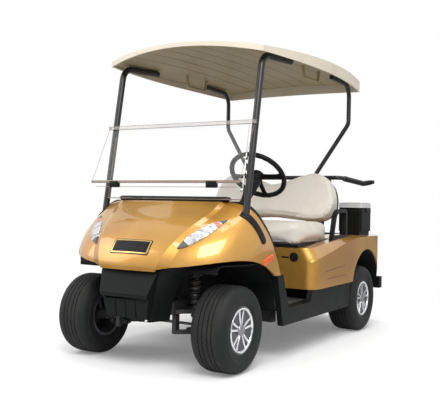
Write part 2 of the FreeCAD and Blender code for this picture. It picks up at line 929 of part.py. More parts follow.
def front_arch_cutter(half_width_in):
    """Space of one front wheel arch below the fender's curved lower edge."""
    half_length = size.front_arch_half_length
    start = Vector(half_width_in, front_axle_y - half_length, size.front_arch_front_height)
    top = Vector(half_width_in, front_axle_y - size.tyre_shoulder, size.front_arch_top)
    finish = Vector(half_width_in, front_axle_y + half_length, size.front_arch_rear_height)
    foot_back = Vector(half_width_in, cowl_tail_y, size.front_arch_rear_height)
    foot_low = Vector(half_width_in, cowl_tail_y + size.cowl_wall, 0)
    front_low = Vector(half_width_in, front_axle_y - half_length * 2, 0)
    front_high = Vector(half_width_in, front_axle_y - half_length * 2, size.front_arch_front_height)
    wire = Part.Wire(
        [
            Part.Arc(start, top, finish).toShape(),
            Part.LineSegment(finish, foot_back).toShape(),
            Part.LineSegment(foot_back, foot_low).toShape(),
            Part.LineSegment(foot_low, front_low).toShape(),
            Part.LineSegment(front_low, front_high).toShape(),
            Part.LineSegment(front_high, start).toShape(),
        ]
    )
    return Part.Face(wire).extrude(x_axis * size.cowl_half_width)


def cowl_shape():
    """Front body shell: nose and fenders in one skin with a raised bonnet between creases."""
    skin = nose_body(0, 0, 0).cut(nose_body(0, size.cowl_wall, size.cowl_wall))
    wide = size.cowl_half_width * 2
    deep = size.overall_length
    top_y = behind(size.cowl_back_top_setback)
    foot_y = behind(size.cowl_back_foot_setback)
    slope_run = foot_y - top_y
    slope_rise = size.cowl_ridge_height - size.cowl_foot_height
    back_outline = [
        (top_y - slope_run, size.cowl_ridge_height + slope_rise),
        (foot_y + slope_run, size.cowl_foot_height - slope_rise),
        (foot_y + deep, size.cowl_foot_height - slope_rise),
        (foot_y + deep, size.cowl_ridge_height + slope_rise),
    ]
    skin = skin.cut(prism("YZ", back_outline, -wide, wide))
    below_lip = block(
        Vector(-wide, -deep, 0), Vector(wide, front_axle_y - size.tyre_radius, size.cowl_lip_height)
    )
    middle_low = block(
        Vector(-size.nose_half_width * 2, -deep, 0),
        Vector(size.nose_half_width * 2, deep, size.cowl_lip_height),
    )
    above_ridge = block(
        Vector(-wide, -deep, size.cowl_ridge_height), Vector(wide, deep, size.cowl_ridge_height * 2)
    )
    arch = front_arch_cutter(size.nose_half_width)
    cutters = [below_lip, middle_low, above_ridge, arch, mirrored(arch)]
    return skin.cut(cutters).removeSplitter()


add("front_cowl", cowl_shape())


# nose bumper

def wing_wire(along_y, top_half, shelf_half, foot_half, high, inset):
    """Front view of the bumper's swept side at one Y: bowed edges between two levels."""
    low = size.bumper_foot_height - size.bumper_corner / 2 - inset
    shelf = size.bumper_shelf_height
    foot_left = Vector(foot_half - inset, along_y, low)
    shelf_left = Vector(shelf_half - inset, along_y, shelf)
    top_left = Vector(top_half - inset, along_y, high)
    foot_right, shelf_right, top_right = [
        Vector(-point.x, along_y, point.z) for point in (foot_left, shelf_left, top_left)
    ]
    edges = [
        Part.LineSegment(foot_right, foot_left).toShape(),
        Part.Arc(foot_left, shelf_left, top_left).toShape(),
        Part.LineSegment(top_left, top_right).toShape(),
        Part.Arc(top_right, shelf_right, foot_right).toShape(),
    ]
    return Part.Wire(edges)


def wing_body(inset, behind_it):
    """Sides of the bumper that sweep back and out to the front edge of the wheel arches."""
    wing_y = behind(-size.wing_lead)
    block_y = wing_y - size.wing_depth + inset
    high = size.cowl_lip_height - size.part_gap
    sections = [
        wing_wire(
            block_y,
            size.bumper_top_half_width - size.part_gap,
            size.bumper_shelf_half_width + size.bumper_wall / 2,
            size.bumper_foot_half_width - size.part_gap,
            high + inset,
            inset,
        ),
        wing_wire(
            wing_y + behind_it,
            size.wing_top_half_width,
            size.wing_shelf_half_width,
            size.wing_foot_half_width,
            high + size.wing_rise + inset,
            inset,
        ),
    ]
    return Part.makeLoft(sections, True, True)


def bumper_body(inset):
    """Solid middle of the bumper: side profile and front view met in one body."""
    face_y = -size.overall_length / 2 + inset
    shelf_y = face_y + size.bumper_shelf_depth
    foot_y = shelf_y + size.bumper_shelf_depth / 2
    top_y = behind(-size.cowl_reach) + size.cowl_wall + inset
    back_y = behind(-size.wing_lead) - size.wing_depth + inset
    low = size.bumper_foot_height
    shelf = size.bumper_shelf_height
    high = size.cowl_lip_height - size.part_gap
    side = [
        (back_y, low - inset),
        (foot_y, low - inset),
        (shelf_y, shelf - size.bumper_wall - inset),
        (face_y, shelf - inset, size.bumper_wall),
        (top_y, high + inset),
        (back_y, high + inset),
    ]
    foot_half = size.bumper_foot_half_width - inset
    shelf_half = size.bumper_shelf_half_width - inset
    top_half = size.bumper_top_half_width - inset
    front = [
        (-foot_half, low - inset),
        (foot_half, low - inset),
        (shelf_half, shelf),
        (top_half, high + inset),
        (-top_half, high + inset),
        (-shelf_half, shelf),
    ]
    body = prism("YZ", side, -size.cowl_half_width, size.cowl_half_width)
    body = body.common(prism("XZ", front, -size.overall_length, size.overall_length))
    corner = size.bumper_corner
    plan = [
        (-top_half, back_y),
        (-top_half + corner / 2, face_y, corner),
        (top_half - corner / 2, face_y, corner),
        (top_half, back_y),
    ]
    return body.common(prism("XY", plan, 0, size.overall_length))


def bumper_shape():
    """Nose bumper: a face below the bonnet's lip, a shelf, and a ribbed lower part."""
    wall = size.bumper_wall
    face_y = -size.overall_length / 2
    shelf_y = face_y + size.bumper_shelf_depth
    foot_y = shelf_y + size.bumper_shelf_depth / 2
    deep = size.bumper_groove / 2
    groove_outline = [
        (foot_y - wall, size.bumper_foot_height - wall),
        (foot_y + deep, size.bumper_foot_height - wall),
        (foot_y + deep, size.bumper_foot_height),
        (shelf_y + deep, size.bumper_shelf_height - wall * 2),
        (shelf_y - wall, size.bumper_shelf_height - wall * 2),
    ]
    groove_cuts = []
    pitch = size.bumper_foot_half_width / 2
    for column in (-1, 0, 1):
        low_x = column * pitch - size.bumper_groove / 2
        groove_cuts.append(prism("YZ", groove_outline, low_x, low_x + size.bumper_groove))
    shell = bumper_body(0).fuse(wing_body(0, 0))
    hollow = bumper_body(wall).fuse(wing_body(wall / 2, wall))
    return shell.cut([hollow] + groove_cuts).removeSplitter()


add("front_bumper", bumper_shape())


# linings of the wheel arches

def front_liner_shape():
    """Lining over the front wheel: a flat-topped channel that the wheel can turn in."""
    thick = size.liner_thickness
    top = size.front_arch_top - size.liner_thickness * 4
    front_y = behind(size.part_gap - size.wing_lead)
    rear_y = behind(size.toe_board_setback) - size.floor_thickness - size.part_gap
    slope_run = size.toe_board_setback - size.dash_foot_setback
    outline = [
        (front_y, top - thick * 8),
        (front_y, top, size.liner_thickness * 6),
        (rear_y - slope_run, top, size.liner_thickness * 6),
        (rear_y, size.toe_board_height - thick * 4, size.liner_thickness * 6),
        (rear_y, size.floor_height - size.floor_thickness),
        (rear_y - thick, size.floor_height - size.floor_thickness),
        (rear_y - thick, size.toe_board_height - thick * 4.5, size.liner_thickness * 5),
        (rear_y - slope_run, top - thick, size.liner_thickness * 5),
        (front_y + thick, top - thick, size.liner_thickness * 5),
        (front_y + thick, top - thick * 8),
    ]
    inner = size.coil_half_span + size.tower_width / 2 + size.part_gap
    outer = size.sill_half_width - size.sill_thickness - size.part_gap
    reach = cowl_full_reach - size.cowl_wall - size.part_gap
    plan = nose_section(0, reach, size.cowl_half_width - size.cowl_wall, 0)
    return prism("YZ", outline, inner, outer).common(Part.Face(plan).extrude(z_axis * size.overall_length))


front_liner = front_liner_shape()

arch_centre_y = rear_axle_y + size.rear_arch_offset


def rear_liner_shape():
    """Half drum over a rear wheel with a wall on its inner side."""
    thick = size.liner_thickness
    radius = size.rear_arch_radius - size.part_gap
    inner_x = size.well_half_width + size.part_gap
    outer_x = size.body_half_width - size.body_wall - size.part_gap
    centre = Vector(inner_x, arch_centre_y, size.rear_arch_height)
    drum = cylinder(radius, centre, x_axis, outer_x - inner_x)
    hollow = cylinder(radius - thick, centre + x_axis * thick, x_axis, outer_x)
    low = block(
        Vector(0, arch_centre_y - radius * 2, 0),
        Vector(size.overall_length, arch_centre_y + radius * 2, size.rear_arch_height),
    )
    axle_slot = block(
        Vector(0, rear_axle_y - size.axle_tube_radius * 2, 0),
        Vector(inner_x + thick, rear_axle_y + size.axle_tube_radius * 2, rail_top + thick * 5),
    )
    return drum.cut([hollow, low, axle_slot])



# dashboard, trim and steering

def dash_shape():
    """Dashboard between the posts with an open tray on each side of the column."""
    back_y = behind(size.dash_foot_setback) - size.floor_thickness
    front_y = behind(size.cowl_back_top_setback) + size.part_gap
    face_y = front_y + size.dash_depth - size.trim_width
    top = size.cowl_ridge_height - size.dash_top_drop
    foot = size.dash_foot_height + size.part_gap
    corner = size.dash_wall * 2
    outline = [
        (front_y, top),
        (face_y, top - corner, corner),
        (face_y + corner, top - corner * 4, corner),
        (back_y + size.floor_thickness + corner, foot),
        (back_y, foot),
    ]
    half = size.dash_half_width
    body = prism("YZ", outline, -half, half)
    shoulder = size.dash_half_width - size.nose_half_width / 2
    shoulder_low = top - size.trim_width * 1.5
    front_outline = [
        (-half, 0),
        (half, 0),
        (half, shoulder_low),
        (shoulder, top),
        (-shoulder, top),
        (-half, shoulder_low),
    ]
    body = body.common(prism("XZ", front_outline, -size.overall_length, 0))
    gap = size.part_gap
    inside = nose_body(0, size.cowl_wall + gap, size.cowl_wall + gap)
    skin = nose_body(0, -gap, -gap).cut(inside)
    body = max(body.cut(skin).Solids, key=lambda solid: solid.Volume)
    wall = size.dash_wall
    trays = []
    tray_low = foot + size.dash_wall * 9
    tray_high = top - size.dash_wall * 6
    column_half = size.steering_hub_radius + size.column_radius
    spans = [
        (-half + wall * 3, -wall * 2),
        (wall * 2, size.steering_wheel_offset - column_half),
        (size.steering_wheel_offset + column_half, half - wall * 3),
    ]
    for low_x, high_x in spans:
        trays.append(
            block(
                Vector(low_x, face_y - size.dash_depth / 2, tray_low),
                Vector(high_x, face_y + size.dash_depth, tray_high),
            )
        )
    return body.cut(trays)


wheel_tilt = math.radians(size.steering_tilt)
column_axis = Vector(0, math.cos(wheel_tilt), math.sin(wheel_tilt))
steering_centre = Vector(
    size.steering_wheel_offset, behind(size.steering_wheel_setback), size.steering_wheel_height
)
column_top = steering_centre - column_axis * (size.steering_hub_height + size.part_gap)
column_foot = column_top - column_axis * size.column_length
steering_column = cylinder(size.column_radius, column_foot, column_axis, size.column_length)
add("steering_column", steering_column)
column_hole = cylinder(
    size.column_radius + size.part_gap,
    column_foot - column_axis * size.column_radius,
    column_axis,
    size.column_length * 2,
)
dash_body = dash_shape().cut(column_hole)


def steering_wheel_shape():
    """Steering wheel: rim, three spokes and a dished hub on the column."""
    ring = Part.makeTorus(size.steering_wheel_radius, size.steering_rim_radius)
    hub = Part.makeCone(
        size.steering_hub_radius * 0.8,
        size.steering_hub_radius,
        size.steering_hub_height,
        Vector(0, 0, -size.steering_hub_height),
    )
    half = size.steering_spoke_width / 2
    spokes = []
    for angle in (0, 90, 180):
        spoke = block(
            Vector(0, -half, -size.steering_rim_radius),
            Vector(size.steering_wheel_radius, half, 0),
        )
        spoke.rotate(Vector(0, 0, 0), z_axis, angle)
        spokes.append(spoke)
    return united([ring, hub] + spokes)


wheel_feature = document.addObject("Part::Feature", "steering_wheel")
wheel_feature.Label = "steering_wheel"
wheel_feature.Shape = steering_wheel_shape()
wheel_feature.Placement = Placement(steering_centre, Rotation(z_axis, column_axis))
nodes["steering_wheel"] = wheel_feature


def trim_shape():
    """Black strip along the foot of the windscreen, raised over the bonnet."""
    front_y = behind(size.cowl_back_top_setback) - size.trim_width
    half = size.nose_half_width * 2
    step = size.trim_height
    foot = size.cowl_ridge_height + step / 8
    outline = [
        (-half, foot),
        (half, foot),
        (half - step, foot + step),
        (-half + step, foot + step),
    ]
    return prism("XZ", outline, front_y, front_y + size.trim_width)


def pedal_shape(offset_x, width, height):
    """Pedal pad on an arm that stands on the floor's toe board."""
    toe_y = behind(size.toe_board_setback)
    thick = size.floor_thickness
    pad_low = size.floor_height + thick * 4
    outline = [
        (toe_y + thick * 4, pad_low),
        (toe_y + thick * 3, pad_low + height),
        (toe_y + thick * 4, pad_low + height),
        (toe_y + thick * 5, pad_low),
    ]
    pad = prism("YZ", outline, offset_x - width / 2, offset_x + width / 2)
    arm = block(
        Vector(offset_x - thick, toe_y, pad_low + height / 2 - thick),
        Vector(offset_x + thick, toe_y + thick * 4.5, pad_low + height / 2 + thick),
    )
    return united([pad, arm])


pedal_offset = size.steering_wheel_offset
pedals = [
    pedal_shape(pedal_offset - size.floor_thickness * 8, size.brake_pedal_width, size.brake_pedal_height),
    pedal_shape(pedal_offset + size.floor_thickness * 7, size.power_pedal_width, size.power_pedal_height),
]
add("pedals", Part.makeCompound(pedals))


# posts

front_post_base_height = size.cowl_ridge_height - size.front_post_base_drop


def front_post_shape(clearance):
    """Bent tube from the cowl up to the roof and back along its underside."""
    post_x = size.front_post_half_span
    top_y = behind(size.front_post_top_setback)
    base_y = behind(size.front_post_base_setback)
    points = [
        Vector(post_x, base_y, front_post_base_height),
        Vector(post_x, top_y, size.roof_crown_height - size.front_post_top_fall),
        Vector(
            post_x, behind(size.front_post_end_setback), size.roof_crown_height - size.front_post_end_fall
        ),
    ]
    return tube(points, size.post_bend_radius, size.post_radius + clearance)


thickness = size.backrest_thickness
shell_back = thickness + size.backrest_shell_thickness


def rear_face(height):
    """Y of the leaning seat back's rear face at a height."""
    lean = math.radians(size.backrest_lean)
    rise = height - backrest_bottom
    return ahead(size.backrest_lead) + shell_back / math.cos(lean) + rise * math.tan(lean)


def rear_post_shape(clearance):
    """Bent tube from the deck up the seat back, out to the roof's side and along its underside."""
    post_x = size.rear_post_half_span
    knee_x = size.rear_post_knee_half_span
    crown = size.roof_crown_height
    top_y = ahead(size.rear_post_top_lead)
    foot = size.body_front_top_height
    lean = math.radians(size.backrest_lean)
    behind_shell = (size.rear_post_radius + size.part_gap) / math.cos(lean)
    points = [
        Vector(knee_x, rear_face(foot) + behind_shell, foot),
        Vector(knee_x, rear_face(rack_height) + behind_shell, rack_height),
        Vector(post_x, top_y, crown - size.rear_post_bend_fall),
        Vector(post_x, top_y, crown - size.rear_post_top_fall),
        Vector(post_x, ahead(size.rear_post_end_lead), crown - size.rear_post_end_fall),
    ]
    return tube(points, size.post_bend_radius, size.rear_post_radius + clearance)


add("front_posts", both_sides(front_post_shape(0)))
post_hole = front_post_shape(size.part_gap)
nodes["front_cowl"].Shape = nodes["front_cowl"].Shape.cut([post_hole, mirrored(post_hole)])


# roof

def roof_plan(inset, low, high):
    """Prism of the roof's plan: bowed front and sides, straighter rear."""
    half_end = size.roof_end_half_width - inset
    half = size.roof_half_width - inset
    front_y = behind(size.roof_front_setback) + inset
    corner_y = behind(size.roof_corner_setback) + inset
    rear_y = ahead(size.roof_rear_lead) - inset
    middle_y = (corner_y + rear_y) / 2
    front = Part.Arc(
        Vector(half_end, corner_y, low), Vector(0, front_y, low), Vector(-half_end, corner_y, low)
    )
    right = Part.Arc(
        Vector(-half_end, corner_y, low), Vector(-half, middle_y, low), Vector(-half_end, rear_y, low)
    )
    rear = Part.LineSegment(Vector(-half_end, rear_y, low), Vector(half_end, rear_y, low))
    left = Part.Arc(
        Vector(half_end, rear_y, low), Vector(half, middle_y, low), Vector(half_end, corner_y, low)
    )
    wire = Part.Wire([edge.toShape() for edge in (front, right, rear, left)])
    return Part.Face(wire).extrude(z_axis * (high - low))


roof_front_y = behind(size.roof_front_setback)
roof_rear_y = ahead(size.roof_rear_lead)
roof_middle_y = (behind(size.roof_corner_setback) + roof_rear_y) / 2


def crowned_solid(front, middle, rear):
    """Solid below a double-curved surface, from (middle, side) falls at three places."""
    half = size.roof_half_width + size.roof_wall
    places = (roof_front_y - size.roof_wall, roof_middle_y, roof_rear_y + size.roof_wall)
    sections = []
    for along_y, (middle_fall, side_fall) in zip(places, (front, middle, rear)):
        middle_z = size.roof_crown_height - middle_fall
        side_z = size.roof_crown_height - side_fall
        crest = Vector(0, along_y, middle_z)
        right = Vector(-half, along_y, side_z)
        left = Vector(half, along_y, side_z)
        foot_left = Vector(half, along_y, 0)
        foot_right = Vector(-half, along_y, 0)
        edges = [
            Part.Arc(right, crest, left).toShape(),
            Part.LineSegment(left, foot_left).toShape(),
            Part.LineSegment(foot_left, foot_right).toShape(),
            Part.LineSegment(foot_right, right).toShape(),
        ]
        sections.append(Part.Wire(edges))
    return Part.makeLoft(sections, True, False)


def roof_top(drop):
    """Solid under the roof's crown, which falls to the front, the rear and the sides."""
    return crowned_solid(
        (size.roof_front_fall + drop, size.roof_front_corner_fall + drop),
        (drop, size.roof_side_fall + drop),
        (size.roof_rear_fall + drop, size.roof_rear_corner_fall + drop),
    )


def roof_shape():
    """Moulded roof: a thin-lipped dome in front whose sides deepen towards the rear."""
    tall = size.roof_crown_height + size.roof_wall
    outer = roof_plan(0, size.part_gap, tall).common(roof_top(0))
    inner = roof_plan(size.roof_wall, 0, tall).common(roof_top(size.roof_wall))
    below = crowned_solid(
        (size.roof_front_fall + size.roof_front_lip, size.roof_front_corner_fall + size.roof_front_lip),
        (size.roof_side_lip + size.roof_front_lip, size.roof_side_fall + size.roof_side_lip),
        (
            size.roof_rear_corner_fall + size.roof_rear_lip - size.roof_wall,
            size.roof_rear_corner_fall + size.roof_rear_lip,
        ),
    )
    return outer.cut([inner, below])


def liner_skin(drop):
    """Solid under the headlining's curved face."""
    return crowned_solid(
        (size.liner_front_fall + drop, size.liner_front_corner_fall + drop),
        (size.liner_fall + drop, size.liner_side_fall + drop),
        (size.liner_rear_fall + drop, size.liner_rear_corner_fall + drop),
    )


def roof_liner_shape():
    """Headlining panel that closes the roof from below and lies over the posts."""
    panel = roof_plan(size.roof_wall + size.part_gap, size.part_gap, size.roof_crown_height)
    panel = panel.common(liner_skin(-size.liner_thickness)).cut(liner_skin(0))
    grooves = []
    for shape in (front_post_shape(size.part_gap), rear_post_shape(size.part_gap)):
        grooves += [shape, mirrored(shape)]
    return panel.cut(grooves)


add("roof", roof_shape())


def roof_handle_shape():
    """Grab handle under the roof beside each seat."""
    handle_x = size.handle_half_span
    start_y = ahead(size.handle_lead)
    end_y = start_y + size.handle_length
    top = size.roof_crown_height - size.handle_fall
    low = top - size.handle_drop
    points = [
        Vector(handle_x, start_y, top),
        Vector(handle_x, start_y + size.handle_radius * 2, low),
        Vector(handle_x, end_y - size.handle_radius * 2, low),
        Vector(handle_x, end_y, top),
    ]
    return tube(points, size.handle_radius * 2, size.handle_radius)


handle = roof_handle_shape()
add("roof_liner", united([roof_liner_shape(), handle, mirrored(handle)]))


# windscreen: lower pane on the posts, upper pane folded down in front of it

post_slope = (size.front_post_top_setback - size.front_post_base_setback) / (
    size.roof_crown_height - size.front_post_top_fall - front_post_base_height
)


def screen_y(height):
    """Y of the panes' plane, just ahead of the sloping front posts."""
    setback = size.front_post_base_setback + post_slope * (height - front_post_base_height)
    return behind(setback) - size.post_radius - size.screen_thickness


def pane(half_width, low_y, low_z, high_y, high_z):
    thick = size.screen_thickness
    outline = [
        (low_y, low_z),
        (low_y + thick, low_z),
        (high_y + thick, high_z),
        (high_y, high_z),
    ]
    return prism("YZ", outline, -half_width, half_width)


rail_y = screen_y(size.screen_rail_height)
lower_top = size.screen_rail_height - size.screen_rail_radius - size.part_gap
lower_pane = pane(
    size.screen_half_width,
    screen_y((size.cowl_ridge_height + size.screen_foot_rise)),
    (size.cowl_ridge_height + size.screen_foot_rise),
    screen_y(lower_top),
    lower_top,
)
fold_top = lower_top
fold_y = rail_y - size.screen_rail_radius * 2
upper_pane = pane(
    size.screen_fold_half_width,
    rail_y - size.screen_fold_reach,
    size.screen_fold_height,
    fold_y,
    fold_top,
)
add("windscreen", Part.makeCompound([lower_pane, upper_pane]))
strip = trim_shape().cut(lower_pane)
add("dashboard", Part.makeCompound([dash_body.cut(nodes["front_cowl"].Shape), strip]))


def screen_rail_shape():
    """Hinge rail across the posts, and two clips on the folded pane's free edge."""
    radius = size.screen_rail_radius
    thick = size.screen_thickness
    rail = block(
        Vector(-size.screen_fold_half_width, rail_y - radius * 2 - thick, size.screen_rail_height - radius),
        Vector(
            size.screen_fold_half_width,
            rail_y + thick - radius * post_slope - size.part_gap * 2,
            size.screen_rail_height + radius,
        ),
    )
    clips = []
    for side in left_and_right:
        middle = side * size.screen_half_width * 0.72
        clip = block(
            Vector(
                middle - size.screen_clip_width / 2,
                rail_y - size.screen_fold_reach - thick,
                size.screen_fold_height - size.screen_clip_height,
            ),
            Vector(
                middle + size.screen_clip_width / 2,
                rail_y - size.screen_fold_reach + thick * 2,
                size.screen_fold_height - size.part_gap,
            ),
        )
        clips.append(clip)
    return Part.makeCompound([rail] + clips)


add("windscreen_rail", screen_rail_shape())


# rear body

def body_section(along_y, top_half, top_z, crease_half, crease_z, inset, foot_z):
    """Cross section of the rear body: upright side, crease, and shoulder that leans in."""
    low_half = size.body_half_width - inset
    points = [
        Vector(-low_half, along_y, foot_z),
        Vector(low_half, along_y, foot_z),
        Vector(crease_half - inset, along_y, crease_z),
        Vector(top_half - inset, along_y, top_z - inset),
        Vector(-top_half + inset, along_y, top_z - inset),
        Vector(-crease_half + inset, along_y, crease_z),
    ]
    return Part.makePolygon(points + points[:1])


body_front_y = ahead(size.body_front_lead)
body_rear_y = ahead(size.body_rear_lead)


# along the body: place, rise of its top, how far the shoulder leans in, height of its crease
body_station_shares = [
    (0.00, 0.00, 0.70, 0.71),
    (0.20, 0.37, 0.80, 0.81),
    (0.40, 0.81, 0.90, 0.91),
    (0.62, 1.10, 1.00, 0.97),
    (1.00, 1.00, 1.10, 0.985),
]


def tail_plan(inset):
    """Tall prism with the body's rounded tail corners in plan."""
    half = size.body_half_width + size.part_gap - inset
    rear = body_rear_y - inset
    radius = size.body_tail_radius - inset
    plan = [
        (-half, body_front_y - half),
        (half, body_front_y - half),
        (half, rear, radius),
        (-half, rear, radius),
    ]
    return prism("XY", plan, 0, size.overall_length)


def body_solid(inset):
    """Lofted block of the rear body, from its front face to the rounded tail."""
    half = size.body_half_width
    foot = size.body_foot_height - inset * 2
    front_top = size.body_front_top_height
    rear_top = body_rear_top
    rise = rear_top - front_top
    length = body_rear_y - body_front_y
    stations = []
    for share, rise_share, inset_share, crease_share in body_station_shares:
        top_z = front_top + rise * rise_share
        crease_z = size.body_foot_height + (top_z - size.body_foot_height) * crease_share
        top_half = half - size.body_top_inset * inset_share
        along_y = body_front_y + inset + (length - inset * 2) * share
        stations.append(body_section(along_y, top_half, top_z, half, crease_z, inset, foot))
    return Part.makeLoft(stations, True, True).common(tail_plan(inset))


def rear_body_shape():
    """Body shell behind the floor: seat box, both sides with wheel arches, decks and tail."""
    outer = body_solid(0)
    corner_edges = []
    for edge in outer.Edges:
        box = edge.BoundBox
        if box.YMax < body_front_y + size.part_gap and box.ZLength > box.XLength:
            corner_edges.append(edge)
    outer = outer.makeFillet(size.body_corner_radius, corner_edges)
    inner = body_solid(size.body_wall)
    wide = size.overall_length
    seat_back_y = ahead(size.seat_front_lead - size.seat_depth)
    seat_open = block(
        Vector(-size.battery_half_width, ahead(size.battery_lead), size.body_foot_height),
        Vector(size.battery_half_width, seat_back_y - size.body_wall, wide),
    )
    well_open = block(
        Vector(-size.well_half_width, ahead(size.well_front_lead), size.body_foot_height),
        Vector(size.well_half_width, ahead(size.well_rear_lead), wide),
    )
    arch_centre = Vector(-size.overall_length / 2, arch_centre_y, size.rear_arch_height)
    arches = cylinder(size.rear_arch_radius, arch_centre, x_axis, size.overall_length)
    tail_low = block(
        Vector(-wide, arch_centre_y, 0),
        Vector(wide, wide, size.body_foot_height),
    )
    return outer.cut([inner, seat_open, well_open, arches, tail_low])


# seat

seat_front_y = ahead(size.seat_front_lead)
seat_rear_y = seat_front_y + size.seat_depth
tray_low = seat_bottom - size.tray_thickness
tray_half = size.seat_half_width
tray_rear_y = seat_rear_y
tray_top = seat_bottom - size.part_gap
add("seat_tray", block(Vector(-tray_half, seat_front_y, tray_low), Vector(tray_half, tray_rear_y, tray_top)))
tray_side_gap = Vector(size.lid_clearance, size.lid_clearance, size.part_gap)
tray_recess = block(
    Vector(-tray_half, body_front_y - size.body_wall, tray_low) - tray_side_gap,
    Vector(tray_half, tray_rear_y, seat_bottom + size.seat_thickness) + tray_side_gap,
)
add("rear_body", rear_body_shape().cut(tray_recess))
rear_liner = rear_liner_shape().common(tail_plan(size.part_gap * 2))
add(
    "wheel_arch_liners",
    Part.makeCompound([front_liner, mirrored(front_liner), rear_liner, mirrored(rear_liner)]),
)
cushion = block(
    Vector(-size.seat_half_width, seat_front_y, seat_bottom),
    Vector(size.seat_half_width, seat_rear_y, seat_bottom + size.seat_thickness),
)
cushion_front = [
    edge for edge in cushion.Edges if edge.BoundBox.YMax < seat_front_y + size.part_gap
]
add("seat_cushion", cushion.makeFillet(size.seat_corner_radius * 0.6, cushion_front))


def backrest_outline(inset, drop):
    """Two-lobed outline of the backrest, as (across, up) points of a closed curve."""
    half = size.backrest_half_width - inset
    low = backrest_bottom + inset
    peak = backrest_peak - inset
    dip = (backrest_peak - size.backrest_dip) - inset
    height = peak - low
    right_side = [
        (0, dip),
        (half * 0.22, dip + (peak - dip) * 0.35),
        (half * 0.48, peak - height * 0.03),
        (half * 0.70, peak),
        (half * 0.88, peak - height * 0.14),
        (half * 0.99, low + height * 0.52),
        (half * 0.98, low + height * 0.20),
        (half * 0.84, low + height * 0.02),
        (half * 0.55, low),
        (half * 0.25, low + height * 0.05),
    ]
    left_side = [(-across, up) for across, up in reversed(right_side[1:])]
    return right_side + [(0, low + height * 0.07)] + left_side


def backrest_solid(inset, start, end):
    """Slab of the backrest between two distances along its thickness, leaning back."""
    points = [Vector(across, start, up) for across, up in backrest_outline(inset, 0)]
    curve = Part.BSplineCurve()
    curve.interpolate(points, PeriodicFlag=True)
    slab = Part.Face(Part.Wire([curve.toShape()])).extrude(y_axis * (end - start))
    foot = Vector(0, 0, backrest_bottom)
    slab.rotate(foot, x_axis, -size.backrest_lean)
    slab.translate(y_axis * ahead(size.backrest_lead))
    return slab


add("seat_back", backrest_solid(0, 0, thickness - size.part_gap))


def seat_back_shell_shape():
    """Moulded shell behind the backrest with two struts that stand on the rear body."""
    shell = backrest_solid(size.backrest_shell_thickness, thickness, shell_back)
    struts = []
    half = size.rear_post_radius
    rack_y = ahead(size.rack_lead)
    rack_low = rack_height - size.rack_bar_radius - size.part_gap
    foot = size.body_front_top_height

    for side in left_and_right:
        strut_x = side * size.rack_half_span * 0.8
        knee = rack_low - half * 2
        outline = [
            (rear_face(foot), foot),
            (rear_face(foot) + half * 2, foot),
            (rear_face(knee) + half * 2, knee, half),
            (rack_y + half, knee + half),
            (rack_y + half, rack_low),
            (rear_face(rack_low) + half, rack_low, half),
            (rear_face(knee), knee, half),
        ]
        struts.append(prism("YZ", outline, strut_x - half, strut_x + half))
    cushion_side = backrest_solid(-size.part_gap, 0, thickness)
    return united([shell] + struts).cut([body_solid(-size.part_gap), cushion_side])


add("seat_back_shell", seat_back_shell_shape())
add("rear_posts", both_sides(rear_post_shape(0).cut(body_solid(-size.part_gap))))


def restraint_shape():
    """Hip restraint: a closed loop of flat bar beside the seat."""
    front_y = ahead(size.restraint_front_lead)
    rear_y = ahead(size.restraint_rear_lead)
    top = (size.body_front_top_height + size.restraint_rise)
    bar = size.restraint_bar
    foot = size.body_front_top_height
    inner_foot = body_rear_top + bar / 2
    outer = [
        (front_y, foot),
        (front_y + bar * 2.5, top, bar * 3.5),
        (rear_y, top, bar),
        (rear_y, foot),
    ]
    inner = [
        (front_y + bar * 1.3, inner_foot),
        (front_y + bar * 3.1, top - bar, bar * 2.2),
        (rear_y - bar, top - bar),
        (rear_y - bar, inner_foot),
    ]
    low = size.rear_post_half_span + size.rear_post_radius + size.part_gap
    high = low + size.restraint_width
    loop = prism("YZ", outer, low, high).cut(prism("YZ", inner, low - bar, high + bar))
    return loop.cut(body_solid(-size.part_gap))


add("hip_restraints", both_sides(restraint_shape()))


# bag well, bag rack, cooler and tail

well_low = rear_rail_low + size.rail_depth + size.part_gap


def bag_well_shape():
    """Tray for the feet of the golf bags, sunk between the rear decks."""
    half = size.well_half_width - size.part_gap
    front_y = ahead(size.well_front_lead) + size.part_gap
    rear_y = ahead(size.well_rear_lead) - size.part_gap
    top = body_rear_top
    outer = block(Vector(-half, front_y, well_low), Vector(half, rear_y, top))
    wall = size.well_wall
    inner = block(
        Vector(-half + wall, front_y + wall, well_low + wall),
        Vector(half - wall, rear_y - wall, top + wall),
    )
    return outer.cut(inner)


add("bag_well", bag_well_shape())


def bag_rack_shape():
    """Rack behind the seat: a cross bar with an arm that reaches back on each side."""
    radius = size.rack_bar_radius
    half = size.rack_half_span
    bar_y = ahead(size.rack_lead)
    arm_y = ahead(size.rack_arm_lead)
    height = rack_height
    outline = [
        Vector(-half - radius * 5, arm_y, height - radius),
        Vector(-half - radius * 2, arm_y - radius * 6, height - radius * 2),
        Vector(-half, bar_y, height),
        Vector(half, bar_y, height),
        Vector(half + radius * 2, arm_y - radius * 6, height - radius * 2),
        Vector(half + radius * 5, arm_y, height - radius),
    ]
    return tube(outline, radius * 3, radius)


add("bag_rack", bag_rack_shape())

cooler_low = Vector(
    size.cooler_offset - size.cooler_width / 2,
    ahead(size.cooler_lead),
    size.body_front_top_height + size.cooler_rise,
)
cooler_high = cooler_low + Vector(size.cooler_width, size.cooler_length, size.cooler_height)


def upright_edges(shape):
    return [edge for edge in shape.Edges if edge.BoundBox.ZLength > size.cooler_wall]


